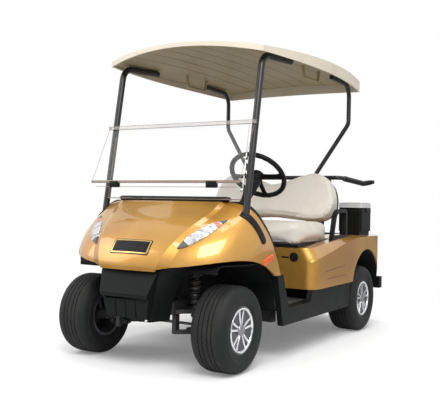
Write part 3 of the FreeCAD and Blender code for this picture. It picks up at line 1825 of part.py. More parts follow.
def cooler_box_shape():
    """Open cooler box with rounded corners."""
    wall = Vector(1, 1, 1) * size.cooler_wall
    outer = block(cooler_low, cooler_high)
    outer = outer.makeFillet(size.cooler_corner_radius, upright_edges(outer))
    inner_high = cooler_high - wall + z_axis * size.cooler_wall * 2
    inner = block(cooler_low + wall, inner_high)
    inner_radius = size.cooler_corner_radius - size.cooler_wall
    inner = inner.makeFillet(inner_radius, upright_edges(inner))
    foot = block(
        Vector(cooler_low.x + size.cooler_wall, cooler_low.y, size.body_front_top_height),
        Vector(
            cooler_high.x - size.cooler_wall,
            cooler_high.y - size.cooler_wall,
            cooler_low.z,
        ),
    )
    return united([outer.cut(inner), foot.cut(body_solid(-size.part_gap))])


add("cooler_box", cooler_box_shape())
lid_low = Vector(cooler_low.x, cooler_low.y, cooler_high.z + size.part_gap)
lid = block(lid_low, Vector(cooler_high.x, cooler_high.y, lid_low.z + size.cooler_lid_height))
add("cooler_lid", lid.makeFillet(size.cooler_corner_radius, upright_edges(lid)))

tail_y = size.overall_length / 2
bumper_half = size.tail_bumper_half_width
bumper_bar = block(
    Vector(-bumper_half, tail_y - size.tail_bumper_depth, size.tail_bumper_foot),
    Vector(bumper_half, tail_y, size.tail_bumper_foot + size.tail_bumper_height),
)
bracket_half = size.rail_half_span + size.rail_width / 2
bumper_bracket = block(
    Vector(-bracket_half, ahead(size.rail_end_lead), rear_rail_low),
    Vector(bracket_half, tail_y - size.tail_bumper_depth, size.tail_bumper_foot + size.tail_bumper_height),
)
add("tail_bumper", united([bumper_bar, bumper_bracket]))

tail_lamp = cylinder(
    size.tail_lamp_radius,
    Vector(size.tail_lamp_half_span, body_rear_y, size.tail_lamp_height),
    y_axis,
    size.tail_lamp_depth,
)
add("tail_lamps", both_sides(tail_lamp))


# battery pack

battery_low = Vector(
    -size.battery_half_width + size.body_wall, ahead(size.battery_lead) + size.body_wall, rail_top
)
battery_high = Vector(
    size.battery_half_width - size.body_wall,
    battery_low.y + size.battery_length,
    rail_top + size.battery_height,
)
add("battery_pack", block(battery_low, battery_high))


# head lamps

def head_lamp_shape():
    """Slender lens that follows the skin of the fender, standing a little proud of it."""
    proud = nose_body(size.lamp_thickness / 2, -size.lamp_thickness / 4, 0)
    flush = nose_body(-size.lamp_thickness, size.lamp_thickness / 2, 0)
    tip_low = (size.nose_half_width * 1.5, size.cowl_lip_height + cowl_rise / 3)
    tip_high = (size.nose_half_width * 2.4, size.cowl_lip_height + cowl_rise * 0.74)
    width = size.lamp_thickness * 2.4
    middle_x = (tip_low[0] + tip_high[0]) / 2
    middle_z = (tip_low[1] + tip_high[1]) / 2
    front_y = -size.overall_length
    corners = [
        Vector(tip_low[0], front_y, tip_low[1]),
        Vector(middle_x - width, front_y, middle_z + width),
        Vector(tip_high[0], front_y, tip_high[1]),
        Vector(middle_x + width, front_y, middle_z - width),
    ]
    wire = Part.Wire(
        [
            Part.Arc(corners[0], corners[1], corners[2]).toShape(),
            Part.Arc(corners[2], corners[3], corners[0]).toShape(),
        ]
    )
    blade = Part.Face(wire).extrude(y_axis * size.overall_length)
    return proud.cut(flush).common(blade)


lamp = head_lamp_shape()
add("head_lamps", both_sides(lamp))
nodes["front_cowl"].Shape = nodes["front_cowl"].Shape.cut([lamp, mirrored(lamp)])

document.recompute()
for item in document.Objects:
    for flag in ("Invalid", "Error"):
        if flag in item.State:
            raise RuntimeError(f"{item.Label} is {flag}")
for label, feature in nodes.items():
    if feature.Shape.isNull() or not feature.Shape.isValid():
        raise RuntimeError(f"{label} has no valid shape")
for label, feature in nodes.items():
    feature.Shape.exportStep(f"parts/{label}.step")
    solids = len(feature.Shape.Solids)
    print(label, solids, round(feature.Shape.Volume / 1e6, 3))
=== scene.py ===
import math

import bmesh
import bpy
from mathutils import Matrix, Vector


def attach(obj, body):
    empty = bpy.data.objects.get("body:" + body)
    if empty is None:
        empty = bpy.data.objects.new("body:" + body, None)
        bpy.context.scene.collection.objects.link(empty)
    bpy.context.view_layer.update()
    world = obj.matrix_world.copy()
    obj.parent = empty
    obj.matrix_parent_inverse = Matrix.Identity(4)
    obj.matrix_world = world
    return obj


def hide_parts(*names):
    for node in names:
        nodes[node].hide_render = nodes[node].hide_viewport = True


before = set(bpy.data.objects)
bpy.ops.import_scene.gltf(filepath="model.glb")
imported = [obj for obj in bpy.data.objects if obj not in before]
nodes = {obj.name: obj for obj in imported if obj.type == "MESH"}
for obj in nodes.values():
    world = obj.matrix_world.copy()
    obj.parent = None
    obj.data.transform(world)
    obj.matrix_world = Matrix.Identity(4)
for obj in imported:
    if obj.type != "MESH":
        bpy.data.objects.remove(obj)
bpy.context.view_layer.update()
print("frame loaded:", len(nodes), "nodes")


# ways of working that every piece uses


def deselectAll():
    if bpy.context.object and bpy.context.object.mode != "OBJECT":
        bpy.ops.object.mode_set(mode="OBJECT")
    bpy.ops.object.select_all(action="DESELECT")


def pick(piece):
    deselectAll()
    piece.select_set(True)
    bpy.context.view_layer.objects.active = piece


def settle(piece):
    # puts the piece's place, turn and size into its mesh
    pick(piece)
    bpy.ops.object.transform_apply(location=True, rotation=True, scale=True)


def editSome(piece, kind, wanted):
    # edit mode with the faces, edges or points selected for which wanted is true
    pick(piece)
    bpy.ops.object.mode_set(mode="EDIT")
    bpy.ops.mesh.select_mode(type=kind)
    bpy.ops.mesh.select_all(action="DESELECT")
    cage = bmesh.from_edit_mesh(piece.data)
    parts = {"FACE": cage.faces, "EDGE": cage.edges, "VERT": cage.verts}
    for part in parts[kind]:
        part.select_set(bool(wanted(part)))
    bmesh.update_edit_mesh(piece.data)


def editFaces(piece, wanted):
    editSome(piece, "FACE", wanted)


def editEdges(piece, wanted):
    editSome(piece, "EDGE", wanted)


def editPoints(piece, wanted):
    editSome(piece, "VERT", lambda point: wanted(point.co))


def editAll(piece):
    pick(piece)
    bpy.ops.object.mode_set(mode="EDIT")
    bpy.ops.mesh.select_all(action="SELECT")


def push(x, y, z):
    bpy.ops.transform.translate(value=(x, y, z))


def stretch(x, y, z):
    bpy.ops.transform.resize(value=(x, y, z))


def leaveEdit():
    bpy.ops.object.mode_set(mode="OBJECT")


def modify(piece, kind, **settings):
    pick(piece)
    modifier = piece.modifiers.new(kind.title(), kind)
    for name, value in settings.items():
        setattr(modifier, name, value)
    bpy.ops.object.modifier_apply(modifier=modifier.name)


def soften(piece, width, segments=2, angle=0.8):
    # rounds the edges that turn more than the angle, in radians
    modify(piece, "BEVEL", width=width, segments=segments, angle_limit=angle)


def sink(inset, step):
    # a smaller face inside each selected one, extruded by the step
    bpy.ops.mesh.inset(thickness=inset)
    bpy.ops.mesh.extrude_region_move(TRANSFORM_OT_translate={"value": step})


def dome(inset, step):
    # a smaller face inside each selected one, moved by the step
    bpy.ops.mesh.inset(thickness=inset)
    push(*step)


def bevelAlong(piece, axis, shortest, width, segments=5):
    # rounds the edges that run along one axis
    editEdges(piece, lambda edge: abs(edge.verts[0].co[axis] - edge.verts[1].co[axis]) > shortest)
    bpy.ops.mesh.bevel(offset=width, segments=segments)
    leaveEdit()


def makeBlock(name, low, high):
    deselectAll()
    low = Vector(low)
    high = Vector(high)
    bpy.ops.mesh.primitive_cube_add(size=1, location=(low + high) / 2, scale=high - low)
    piece = bpy.context.object
    piece.name = name
    settle(piece)
    return piece


def makeRod(name, start, end, radius, sides=24):
    # a cylinder between two points
    deselectAll()
    start = Vector(start)
    run = Vector(end) - start
    turn = run.to_track_quat("Z", "Y").to_euler()
    bpy.ops.mesh.primitive_cylinder_add(
        vertices=sides, radius=radius, depth=run.length, location=start + run / 2, rotation=turn
    )
    piece = bpy.context.object
    piece.name = name
    settle(piece)
    return piece


def copyOf(piece, name):
    copied = piece.copy()
    copied.data = piece.data.copy()
    copied.name = name
    bpy.context.collection.objects.link(copied)
    return copied


def moved(piece, step):
    piece.location = Vector(step)
    settle(piece)
    return piece


def mirroredCopy(piece, name):
    # the same piece on the cart's other side
    other = copyOf(piece, name)
    other.scale = (-1, 1, 1)
    settle(other)
    editAll(other)
    bpy.ops.mesh.remove_doubles(threshold=0.00001)
    bpy.ops.mesh.normals_make_consistent(inside=False)
    leaveEdit()
    return other


def joined(pieces, name):
    deselectAll()
    for piece in pieces:
        piece.select_set(True)
    bpy.context.view_layer.objects.active = pieces[0]
    if len(pieces) > 1:
        bpy.ops.object.join()
    pieces[0].name = name
    return pieces[0]


def makeCutter(centre, size, facing, along=(1, 0, 0), corner=0.0):
    # a block whose depth runs along facing and whose length runs along the other direction
    half = Vector(size) / 2
    cutter = makeBlock("cutter", -half, half)
    if corner:
        bevelAlong(cutter, 2, size[2] / 2, corner)
    depthAxis = Vector(facing).normalized()
    lengthAxis = Vector(along) - depthAxis * depthAxis.dot(Vector(along))
    lengthAxis.normalize()
    widthAxis = depthAxis.cross(lengthAxis)
    cutter.rotation_euler = Matrix((lengthAxis, widthAxis, depthAxis)).transposed().to_euler()
    return moved(cutter, centre)


def mergedCopy(nodeName, lift=0.0):
    # a closed copy of a node's surface, grown by lift
    skin = copyOf(nodes[nodeName], nodeName + "Skin")
    skin.parent = None
    editAll(skin)
    bpy.ops.mesh.remove_doubles(threshold=0.00005)
    bpy.ops.transform.shrink_fatten(value=lift)
    leaveEdit()
    return skin


def patchOn(nodeName, name, cutter, lift, edge=0.0008):
    # the part of a node that lies inside the cutter, raised a little above its skin
    patch = mergedCopy(nodeName, lift)
    patch.name = name
    modify(patch, "BOOLEAN", operation="INTERSECT", solver="EXACT", object=cutter)
    bpy.data.objects.remove(cutter)
    if edge:
        soften(patch, edge)
    return patch


def finishPiece(piece, body, material, angle=35, replaced=()):
    settle(piece)
    bpy.ops.object.shade_smooth_by_angle(angle=math.radians(angle))
    piece.data.materials.clear()
    piece.data.materials.append(material)
    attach(piece, body)
    if replaced:
        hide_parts(*replaced)


def finishTrim(piece):
    # a black fitting fixed to the chassis
    finishPiece(piece, "chassis", softBlack)


def finishPair(piece, otherName, material):
    # a piece fixed to the chassis, and its mirror image on the other side
    other = mirroredCopy(piece, otherName)
    finishPiece(piece, "chassis", material)
    finishPiece(other, "chassis", material)


# the sign of X and the word for each side
sides = ((1, "Left"), (-1, "Right"))


# finishes


class Signal:
    # a node's socket that can be used in sums
    def __init__(self, owner, socket):
        self.owner = owner
        self.socket = socket

    def sum(self, kind, first, second=0.0):
        return self.owner.node("ShaderNodeMath", {"operation": kind}, {0: first, 1: second})

    def __add__(self, other):
        return self.sum("ADD", self, other)

    def __radd__(self, other):
        return self.sum("ADD", other, self)

    def __sub__(self, other):
        return self.sum("SUBTRACT", self, other)

    def __rsub__(self, other):
        return self.sum("SUBTRACT", other, self)

    def __mul__(self, other):
        return self.sum("MULTIPLY", self, other)

    def __rmul__(self, other):
        return self.sum("MULTIPLY", other, self)

    def __pow__(self, other):
        return self.sum("POWER", self, other)

    def __abs__(self):
        return self.sum("ABSOLUTE", self)


class Network:
    # the nodes of a material or of the world
    def __init__(self, tree):
        self.tree = tree

    def node(self, kind, settings=None, values=None, output=0):
        made = self.tree.nodes.new(kind)
        for name, value in (settings or {}).items():
            setattr(made, name, value)
        for socket, value in (values or {}).items():
            self.feed(made.inputs[socket], value)
        return Signal(self, made.outputs[output])

    def feed(self, socket, value):
        if isinstance(value, Signal):
            self.tree.links.new(value.socket, socket)
        elif socket.type == "RGBA":
            socket.default_value = (*value, 1.0)
        else:
            socket.default_value = value


class Finish(Network):
    # one material, made of nodes
    def __init__(self, name):
        self.material = bpy.data.materials.new(name)
        self.material.use_nodes = True
        super().__init__(self.material.node_tree)
        self.shader = self.tree.nodes["Principled BSDF"]
        self.place = self.node("ShaderNodeTexCoord", output="Object")

    def attribute(self, name):
        return self.node("ShaderNodeAttribute", {"attribute_name": name}, output="Vector")

    def noise(self, scale, detail, place=None):
        values = {"Vector": place or self.place, "Scale": scale, "Detail": detail}
        return self.node("ShaderNodeTexNoise", {}, values, "Fac")

    def cells(self, scale, feature="F1", place=None, output="Distance"):
        values = {"Vector": place or self.place, "Scale": scale}
        return self.node("ShaderNodeTexVoronoi", {"feature": feature}, values, output)

    def stretched(self, scale):
        # the place with each axis scaled on its own
        return self.node("ShaderNodeMapping", {}, {"Vector": self.place, "Scale": scale})

    def axes(self, place=None):
        first = self.node("ShaderNodeSeparateXYZ", {}, {0: place or self.place})
        return [Signal(self, socket) for socket in first.socket.node.outputs]

    def step(self, signal, low, high):
        # 0 below low, 1 above high, smooth between
        values = {"Value": signal, "From Min": low, "From Max": high}
        return self.node("ShaderNodeMapRange", {"interpolation_type": "SMOOTHSTEP"}, values)

    def patches(self, low, high, scale, detail, place=None):
        # soft-edged spots of noise
        return self.step(self.noise(scale, detail, place), low, high)

    def wave(self, signal):
        return signal.sum("SINE", signal)

    def blend(self, factor, first, second):
        values = {0: factor, 6: first, 7: second}
        return self.node("ShaderNodeMix", {"data_type": "RGBA"}, values, 2)

    def relief(self, height):
        # height is in metres
        values = {"Height": height, "Distance": 1.0, "Strength": 1.0}
        return self.node("ShaderNodeBump", {}, values, "Normal")

    def done(self, colour, roughness, height=None, metallic=0.0, **fixed):
        self.feed(self.shader.inputs["Base Color"], colour)
        self.feed(self.shader.inputs["Roughness"], roughness)
        self.feed(self.shader.inputs["Metallic"], metallic)
        if height is not None:
            self.feed(self.shader.inputs["Normal"], self.relief(height))
        for name, value in fixed.items():
            self.feed(self.shader.inputs[name.replace("_", " ")], value)
        return self.material


goldPaintLook = {
    "light": (0.60, 0.315, 0.054),
    "deep": (0.47, 0.215, 0.026),
    "flake": (0.95, 0.62, 0.22),
    "dust": (0.30, 0.20, 0.10),
    "flakeScale": 1300.0,
    "metal": 0.66,
    "roughness": 0.36,
}


def makeGoldPaint():
    finish = Finish("goldPaint")
    look = goldPaintLook
    up = finish.axes()[2]
    base = finish.blend(finish.patches(0.35, 0.65, 1.7, 3.0), look["deep"], look["light"])
    sparkle = finish.step(finish.cells(look["flakeScale"], output="Color"), 0.55, 0.95)
    colour = finish.blend(sparkle * 0.28, base, look["flake"])
    low = 1 - finish.step(up, 0.34, 0.62)  # road dust settles low on the body
    dust = low * finish.patches(0.42, 0.75, 9.0, 6.0) * 0.16
    colour = finish.blend(dust, colour, look["dust"])
    roughness = look["roughness"] + sparkle * 0.12 + dust * 0.5
    peel = finish.noise(160.0, 1.0) * 0.00004
    metal = look["metal"] - dust
    return finish.done(colour, roughness, peel, metal, Coat_Weight=1.0, Coat_Roughness=0.03)


def makePlastic(name, colour, lighter, grainScale=420.0, depth=0.00022, rough=0.5):
    # moulded plastic with a fine leather-like grain and pale scuffs
    finish = Finish(name)
    up = finish.axes()[2]
    grain = finish.cells(grainScale, "SMOOTH_F1")
    scuffs = finish.patches(0.60, 0.78, 26.0, 8.0)
    low = 1 - finish.step(up, 0.15, 0.55)
    dust = low * finish.patches(0.40, 0.7, 12.0, 5.0) * 0.20
    shade = finish.blend(scuffs * 0.25 + dust, colour, lighter)
    roughness = rough + scuffs * 0.12 + dust * 0.4 - grain * 0.08
    return finish.done(shade, roughness, grain * depth, Specular_IOR_Level=0.12)


def makeVinyl():
    # off-white upholstery vinyl: pebbled grain, soft creases, a little wear
    finish = Finish("vinyl")
    warp = finish.noise(14.0, 2.0)
    pebble = finish.cells(330.0, "DISTANCE_TO_EDGE")
    pores = finish.step(pebble, 0.0, 0.16)
    creases = finish.step(finish.cells(16.0, "DISTANCE_TO_EDGE"), 0.0, 0.03)
    soil = finish.patches(0.48, 0.72, 7.0, 6.0) * 0.30
    colour = finish.blend(soil, (0.74, 0.69, 0.62), (0.60, 0.54, 0.46))
    colour = finish.blend((1 - pores) * 0.22, colour, (0.52, 0.47, 0.40))
    roughness = 0.44 + soil * 0.3 + warp * 0.06
    height = pores * 0.00010 + creases * warp * 0.00005
    return finish.done(colour, roughness, height, Sheen_Weight=0.08)


def makeRubber():
    # tyre rubber: fine sipes across the tread, moulded rings on the sidewall
    finish = Finish("rubber")
    wheelPlace = finish.attribute("wheelPlace")
    across, back, up = finish.axes(wheelPlace)
    radius = (back * back + up * up) ** 0.5
    angle = back.sum("ARCTAN2", up, back)
    onTread = finish.step(radius, 0.2265, 0.2285)
    sipes = finish.step(finish.wave(angle * 180.0 + abs(across) * 420.0), 0.86, 0.98) * onTread
    onWall = finish.step(radius, 0.135, 0.140) * (1 - finish.step(radius, 0.205, 0.212))
    rings = finish.step(finish.wave(radius * 900.0), 0.6, 0.9) * onWall
    grit = finish.noise(420.0, 3.0)
    dust = finish.patches(0.42, 0.72, 8.0, 6.0, wheelPlace) * 0.35 + onTread * 0.12
    colour = finish.blend(dust, (0.012, 0.0135, 0.013), (0.046, 0.046, 0.041))
    height = rings * 0.0005 - sipes * 0.0012 + grit * 0.00008
    return finish.done(colour, 0.66 + dust * 0.25, height, Specular_IOR_Level=0.28)


def makeMetal(name, colour, dirt, metallic, rough, dirtAmount=0.3, peelDepth=0.00004):
    finish = Finish(name)
    spots = finish.patches(0.52, 0.74, 34.0, 8.0) * dirtAmount
    smear = finish.noise(5.0, 4.0)
    shade = finish.blend(spots, colour, dirt)
    peel = finish.noise(260.0, 2.0) * peelDepth
    return finish.done(shade, rough + spots * 0.35 + smear * 0.05, peel, metallic - spots * metallic)


def makeRoofTop():
    finish = Finish("roofCream")
    grain = finish.cells(260.0, "SMOOTH_F1")
    weather = finish.patches(0.45, 0.75, 5.0, 7.0) * 0.25
    colour = finish.blend(weather, (0.74, 0.67, 0.54), (0.58, 0.51, 0.40))
    return finish.done(colour, 0.42 + weather * 0.3, grain * 0.00012)


def makeRoofLiner():
    # tan inner skin with long moulded grooves, coloured darker in the grooves as painted shade
    finish = Finish("roofTan")
    along = finish.axes()[0]
    pattern = finish.step(finish.wave(along * 52.0), 0.90, 0.99)
    inside = 1 - finish.step(abs(along), 0.40, 0.42)
    grain = finish.cells(300.0, "SMOOTH_F1")
    mottle = finish.noise(6.0, 5.0)
    patches = finish.step(mottle, 0.35, 0.7) * 0.4
    colour = finish.blend(patches, (0.42, 0.345, 0.205), (0.33, 0.265, 0.15))
    # painted shade: the grooves are coloured darker where shade falls in them, besides being sunk as
    # bumps
    colour = finish.blend(pattern * inside * 0.5, colour, (0.15, 0.11, 0.06))
    height = grain * 0.00008 - pattern * inside * 0.002
    return finish.done(colour, 0.34 + mottle * 0.1, height, Coat_Weight=0.12, Specular_IOR_Level=0.3)


def makeFloorMat():
    finish = Finish("ribbedMat")
    along = finish.axes()[0]
    ribs = finish.step(finish.wave(along * 420.0), -0.2, 0.4)
    dust = finish.patches(0.42, 0.7, 10.0, 6.0) * 0.5
    colour = finish.blend(dust, (0.022, 0.022, 0.022), (0.10, 0.09, 0.075))
    return finish.done(colour, 0.78 + dust * 0.15, ribs * 0.0012)


def makePane(name, tint, edgeTint, faceAlpha):
    # clear sheet: nearly unseen on its faces, tinted where it is seen edge on
    finish = Finish(name)
    normal = finish.node("ShaderNodeNewGeometry", output="True Normal")
    back = finish.axes(normal)[1]
    edge = 1 - finish.step(abs(back), 0.30, 0.60)
    scratches = finish.patches(0.62, 0.75, 90.0, 8.0, finish.stretched((1, 1, 6)))
    colour = finish.blend(edge, tint, edgeTint)
    alpha = faceAlpha + edge * (0.8 - faceAlpha) + scratches * 0.03
    return finish.done(colour, 0.03 + scratches * 0.15, scratches * 0.00001, Alpha=alpha)


def makeLens(name, colour, alpha, ribScale, depth=0.0005, coat=0.5):
    finish = Finish(name)
    across, back, up = finish.axes()
    ribs = finish.wave(across * ribScale) * finish.wave(up * ribScale)
    haze = finish.noise(40.0, 4.0)
    shade = finish.blend(haze * 0.25 * coat, colour, (0.5, 0.5, 0.5))
    return finish.done(shade, 0.06 + haze * 0.06, ribs * depth, Alpha=alpha, Coat_Weight=coat)


def makeLampChrome():
    # bright reflector broken into slanting facets; each facet's colour is set lighter or darker at
    # random as painted reflection
    finish = Finish("lampChrome")
    place = finish.stretched((1.0, 0.8, 1.6))
    facetGlints = finish.step(finish.cells(36.0, "F1", place, "Color"), 0.30, 0.80)
    pits = finish.patches(0.55, 0.8, 240.0, 3.0)
    # painted reflection: the facet mask lightens or darkens the chrome as if each facet caught the
    # light differently
    colour = finish.blend(facetGlints, (0.52, 0.55, 0.58), (0.88, 0.90, 0.92))
    height = finish.cells(36.0, "F1", place) * 0.003
    return finish.done(colour, 0.10 + pits * 0.1, height, 0.9)


def makeBatteryCase():
    finish = Finish("batteryCase")
    along = finish.axes()[0]
    seams = finish.step(abs(finish.wave(along * 24.0)), 0.0, 0.06)
    grime = finish.patches(0.4, 0.7, 14.0, 6.0) * 0.5
    colour = finish.blend(grime, (0.05, 0.012, 0.010), (0.07, 0.06, 0.05))
    return finish.done(colour, 0.55 + grime * 0.2, seams * 0.003)


goldPaint = makeGoldPaint()
blackPlastic = makePlastic("blackPlastic", (0.0075, 0.0085, 0.0085), (0.024, 0.025, 0.024))
softBlack = makePlastic("softBlack", (0.012, 0.012, 0.013), (0.04, 0.04, 0.04), 600.0, 0.00012, 0.42)
shellPlastic = makePlastic("shellPlastic", (0.020, 0.020, 0.021), (0.06, 0.06, 0.06), 350.0)
coolerWhite = makePlastic("coolerWhite", (0.62, 0.63, 0.63), (0.45, 0.44, 0.42), 300.0, 0.0001, 0.4)
vinyl = makeVinyl()
rubber = makeRubber()
chrome = makeMetal("chrome", (0.80, 0.81, 0.82), (0.35, 0.33, 0.30), 1.0, 0.07, 0.12)
satinBlack = makeMetal("satinBlack", (0.012, 0.012, 0.013), (0.05, 0.045, 0.04), 0.0, 0.32, 0.3)
frameSteel = makeMetal("frameSteel", (0.030, 0.030, 0.032), (0.12, 0.075, 0.045), 0.3, 0.5, 0.5)
axleSteel = makeMetal("axleSteel", (0.16, 0.16, 0.165), (0.13, 0.07, 0.035), 0.8, 0.42, 0.6)
wheelSteel = makeMetal("wheelSteel", (0.10, 0.10, 0.11), (0.07, 0.06, 0.05), 0.6, 0.38, 0.4)
capGrey = makeMetal("capGrey", (0.28, 0.28, 0.29), (0.15, 0.14, 0.13), 0.7, 0.30, 0.25)
trimGold = makeMetal("trimGold", (0.72, 0.50, 0.20), (0.30, 0.20, 0.08), 1.0, 0.16, 0.15)
roofCream = makeRoofTop()
roofTan = makeRoofLiner()
ribbedMat = makeFloorMat()
clearPane = makePane("clearPane", (0.80, 0.82, 0.82), (0.34, 0.22, 0.17), 0.03)
clearBar = makePane("clearBar", (0.72, 0.66, 0.62), (0.42, 0.30, 0.24), 0.30)
paneEdge = makePane("paneEdge", (0.34, 0.25, 0.21), (0.40, 0.28, 0.21), 0.78)
lampChrome = makeLampChrome()
lampLens = makeLens("lampLens", (0.85, 0.88, 0.90), 0.16, 500.0)
# painted shade: a dark gold for the engraved lines on the body sides, standing in for the shade in
# their grooves
engravedLineShade = makeMetal("engravedLineShade", (0.20, 0.085, 0.014), (0.12, 0.06, 0.02), 0.5, 0.4, 0.2)
coilBlack = makeMetal("coilBlack", (0.016, 0.016, 0.017), (0.07, 0.05, 0.035), 0.1, 0.45, 0.5)
redLens = makeLens("redLens", (0.42, 0.012, 0.010), 1.0, 320.0, 0.0008)
amberLens = makeLens("amberLens", (0.92, 0.11, 0.003), 1.0, 900.0, 0.0003, 0.0)
batteryCase = makeBatteryCase()
print("finishes made")

wheelPlaces = {
    "front_left": (0.452, -0.915, 0.2295),
    "front_right": (-0.452, -0.915, 0.2295),
    "rear_left": (0.495, 0.755, 0.2295),
    "rear_right": (-0.495, 0.755, 0.2295),
}
nodeFinishes = [
    (goldPaint, ("front_cowl", "rear_body")),
    (blackPlastic, ("front_bumper", "side_sills", "wheel_arch_liners", "dashboard", "bag_well")),
    (blackPlastic, ("cooler_box", "tail_bumper", "floor_pan")),
    (softBlack, ("steering_column", "steering_wheel", "seat_tray", "hip_restraints")),
    (shellPlastic, ("seat_back_shell",)),
    (coolerWhite, ("cooler_lid",)),
    (ribbedMat, ("floor_mat",)),
    (vinyl, ("seat_cushion", "seat_back")),
    (satinBlack, ("front_posts", "rear_posts", "bag_rack")),
    (frameSteel, ("frame", "pedals", "suspension_arms")),
    (axleSteel, ("knuckle_left", "knuckle_right", "tie_rod", "rear_axle", "suspension_springs")),
    (wheelSteel, ["wheel_" + name for name in wheelPlaces]),
    (rubber, ["tyre_" + name for name in wheelPlaces]),
    (roofCream, ("roof",)),
    (roofTan, ("roof_liner",)),
    (clearPane, ("windscreen",)),
    (clearBar, ("windscreen_rail",)),
    (redLens, ("tail_lamps",)),
    (lampChrome, ("head_lamps",)),
    (batteryCase, ("battery_pack",)),
]
unfinished = set(nodes)
for material, nodeNames in nodeFinishes:
    for nodeName in nodeNames:
        mesh = nodes[nodeName].data
        if not mesh.materials:
            mesh.materials.append(material)
        for place in range(len(mesh.materials)):
            mesh.materials[place] = material
    unfinished -= set(nodeNames)
print("nodes finished, left as they came:", sorted(unfinished))


# floor, light and camera

cameraLook = {
    "place": (2.353, -4.155, 0.888),
    "azimuth": 31.898,
    "elevation": 0.295,
    "roll": 1.079,
    "lens": 58.616,
    "shift": 0.0201,
}


def makeCamera():
    look = cameraLook
    azimuth = math.radians(look["azimuth"])
    elevation = math.radians(look["elevation"])
    roll = math.radians(look["roll"])
    level = math.cos(elevation)
    back = Vector((math.sin(azimuth) * level, -math.cos(azimuth) * level, math.sin(elevation)))
    right = (-back).cross(Vector((0, 0, 1))).normalized()
    up = right.cross(-back)
    rightRolled = math.cos(roll) * right + math.sin(roll) * up
    upRolled = -math.sin(roll) * right + math.cos(roll) * up
    bpy.ops.object.camera_add()
    camera = bpy.context.object
    camera.name = "photoCamera"
    turn = Matrix((rightRolled, upRolled, back)).transposed()
    camera.matrix_world = Matrix.Translation(Vector(look["place"])) @ turn.to_4x4()
    camera.data.sensor_width = 36.0
    camera.data.lens = look["lens"]
    camera.data.shift_x = look["shift"]
    bpy.context.scene.camera = camera


studioLook = {
    "floorRadius": 40.0,
    "nearRadius": 1.6,
    "farRadius": 3.4,
    "floorTone": 0.80,
    "floorLift": 0.16,
    "worldLight": 0.64,
    "worldGloss": 0.90,
    "floorGlow": 0.24,
}


def makeFloor():
    look = studioLook
    deselectAll()
    bpy.ops.mesh.primitive_circle_add(vertices=96, radius=look["floorRadius"], fill_type="NGON")
    floor = bpy.context.object
    floor.name = "studioFloor"
    finish = Finish("studioFloor")
    across, back = finish.axes()[:2]
    radius = (across * across + back * back) ** 0.5
    near = 1 - finish.step(radius, look["nearRadius"], look["farRadius"])
    grain = finish.noise(30.0, 3.0) * 0.01
    colour = finish.blend(grain, (look["floorTone"],) * 3, (0.7, 0.7, 0.7))
    finish.done(colour, 0.85, Specular_IOR_Level=0.1)
    seen = finish.node("ShaderNodeLightPath", output="Is Camera Ray")
    glow = look["floorGlow"] + (1 - look["floorGlow"]) * seen
    white = finish.node("ShaderNodeEmission", {}, {"Color": (1, 1, 1), "Strength": glow})
    raised = look["floorLift"] * seen
    lift = finish.node("ShaderNodeEmission", {}, {"Color": (1, 1, 1), "Strength": raised})
    lit = finish.node("ShaderNodeAddShader", {}, {0: Signal(finish, finish.shader.outputs[0]), 1: lift})
    shown = finish.node("ShaderNodeMixShader", {}, {0: near, 1: white, 2: lit})
    output = finish.tree.nodes["Material Output"]
    finish.tree.links.new(shown.socket, output.inputs["Surface"])
    floor.data.materials.append(finish.material)


def makeWorld():
    world = bpy.data.worlds.new("studio")
    bpy.context.scene.world = world
    world.use_nodes = True
    network = Network(world.node_tree)
    background = network.tree.nodes["Background"]
    network.feed(background.inputs["Color"], (1, 1, 1))
    kinds = ("Is Camera Ray", "Is Transmission Ray", "Is Glossy Ray")
    seen, through, mirrored = [network.node("ShaderNodeLightPath", output=kind) for kind in kinds]
    direct = network.node("ShaderNodeMath", {"operation": "MAXIMUM"}, {0: seen, 1: through})
    values = {"Value": mirrored, "To Min": studioLook["worldLight"], "To Max": studioLook["worldGloss"]}
    lit = network.node("ShaderNodeMapRange", {}, values)
    strength = network.node("ShaderNodeMapRange", {}, {"Value": direct, "To Min": lit, "To Max": 1.0})
    network.feed(background.inputs["Strength"], strength)


lamps = {
    "key": {"place": (2.4, -3.4, 4.2), "size": 2.6, "watts": 178.0},
    "fill": {"place": (-3.2, -2.6, 2.6), "size": 3.0, "watts": 60.0},
    "top": {"place": (0.2, 0.6, 5.2), "size": 3.2, "watts": 130.0},
}


def makeLamps():
    for name, look in lamps.items():
        place = Vector(look["place"])
        turn = (Vector((0, 0, 0.7)) - place).to_track_quat("-Z", "Y").to_euler()
        bpy.ops.object.light_add(type="AREA", location=place, rotation=turn)
        lamp = bpy.context.object
        lamp.name = name + "Lamp"
        lamp.data.size = look["size"]
        lamp.data.energy = look["watts"]


makeCamera()
makeFloor()
makeWorld()
makeLamps()
bpy.context.scene.view_settings.view_transform = "Standard"
print("studio made")


# wheels: treaded tyre, then a chrome cover over the steel wheel

tyreLook = {
    "pitches": 60,
    "zigzag": 0.005,
    "zigzagFrom": 0.008,
    "zigzagTo": 0.0395,
    "middleRib": 0.009,
    "radius": 0.2295,
    # distance from the middle and radius of each ring, from the middle rib to the bead
    "rings": [
        (0.0094, 0.2238), (0.0146, 0.2238), (0.0150, 0.2295), (0.0330, 0.2295),
        (0.0334, 0.2238), (0.0386, 0.2238), (0.0390, 0.2295), (0.0560, 0.2290),
        (0.0680, 0.2270), (0.0790, 0.2230), (0.0880, 0.2165), (0.0950, 0.2070),
        (0.1000, 0.1940), (0.1022, 0.1810), (0.1040, 0.1790), (0.1042, 0.1740),
        (0.1028, 0.1715), (0.1022, 0.1560), (0.0990, 0.1430), (0.0960, 0.1350),
        (0.0915, 0.1290), (0.0820, 0.1272),
    ],
}


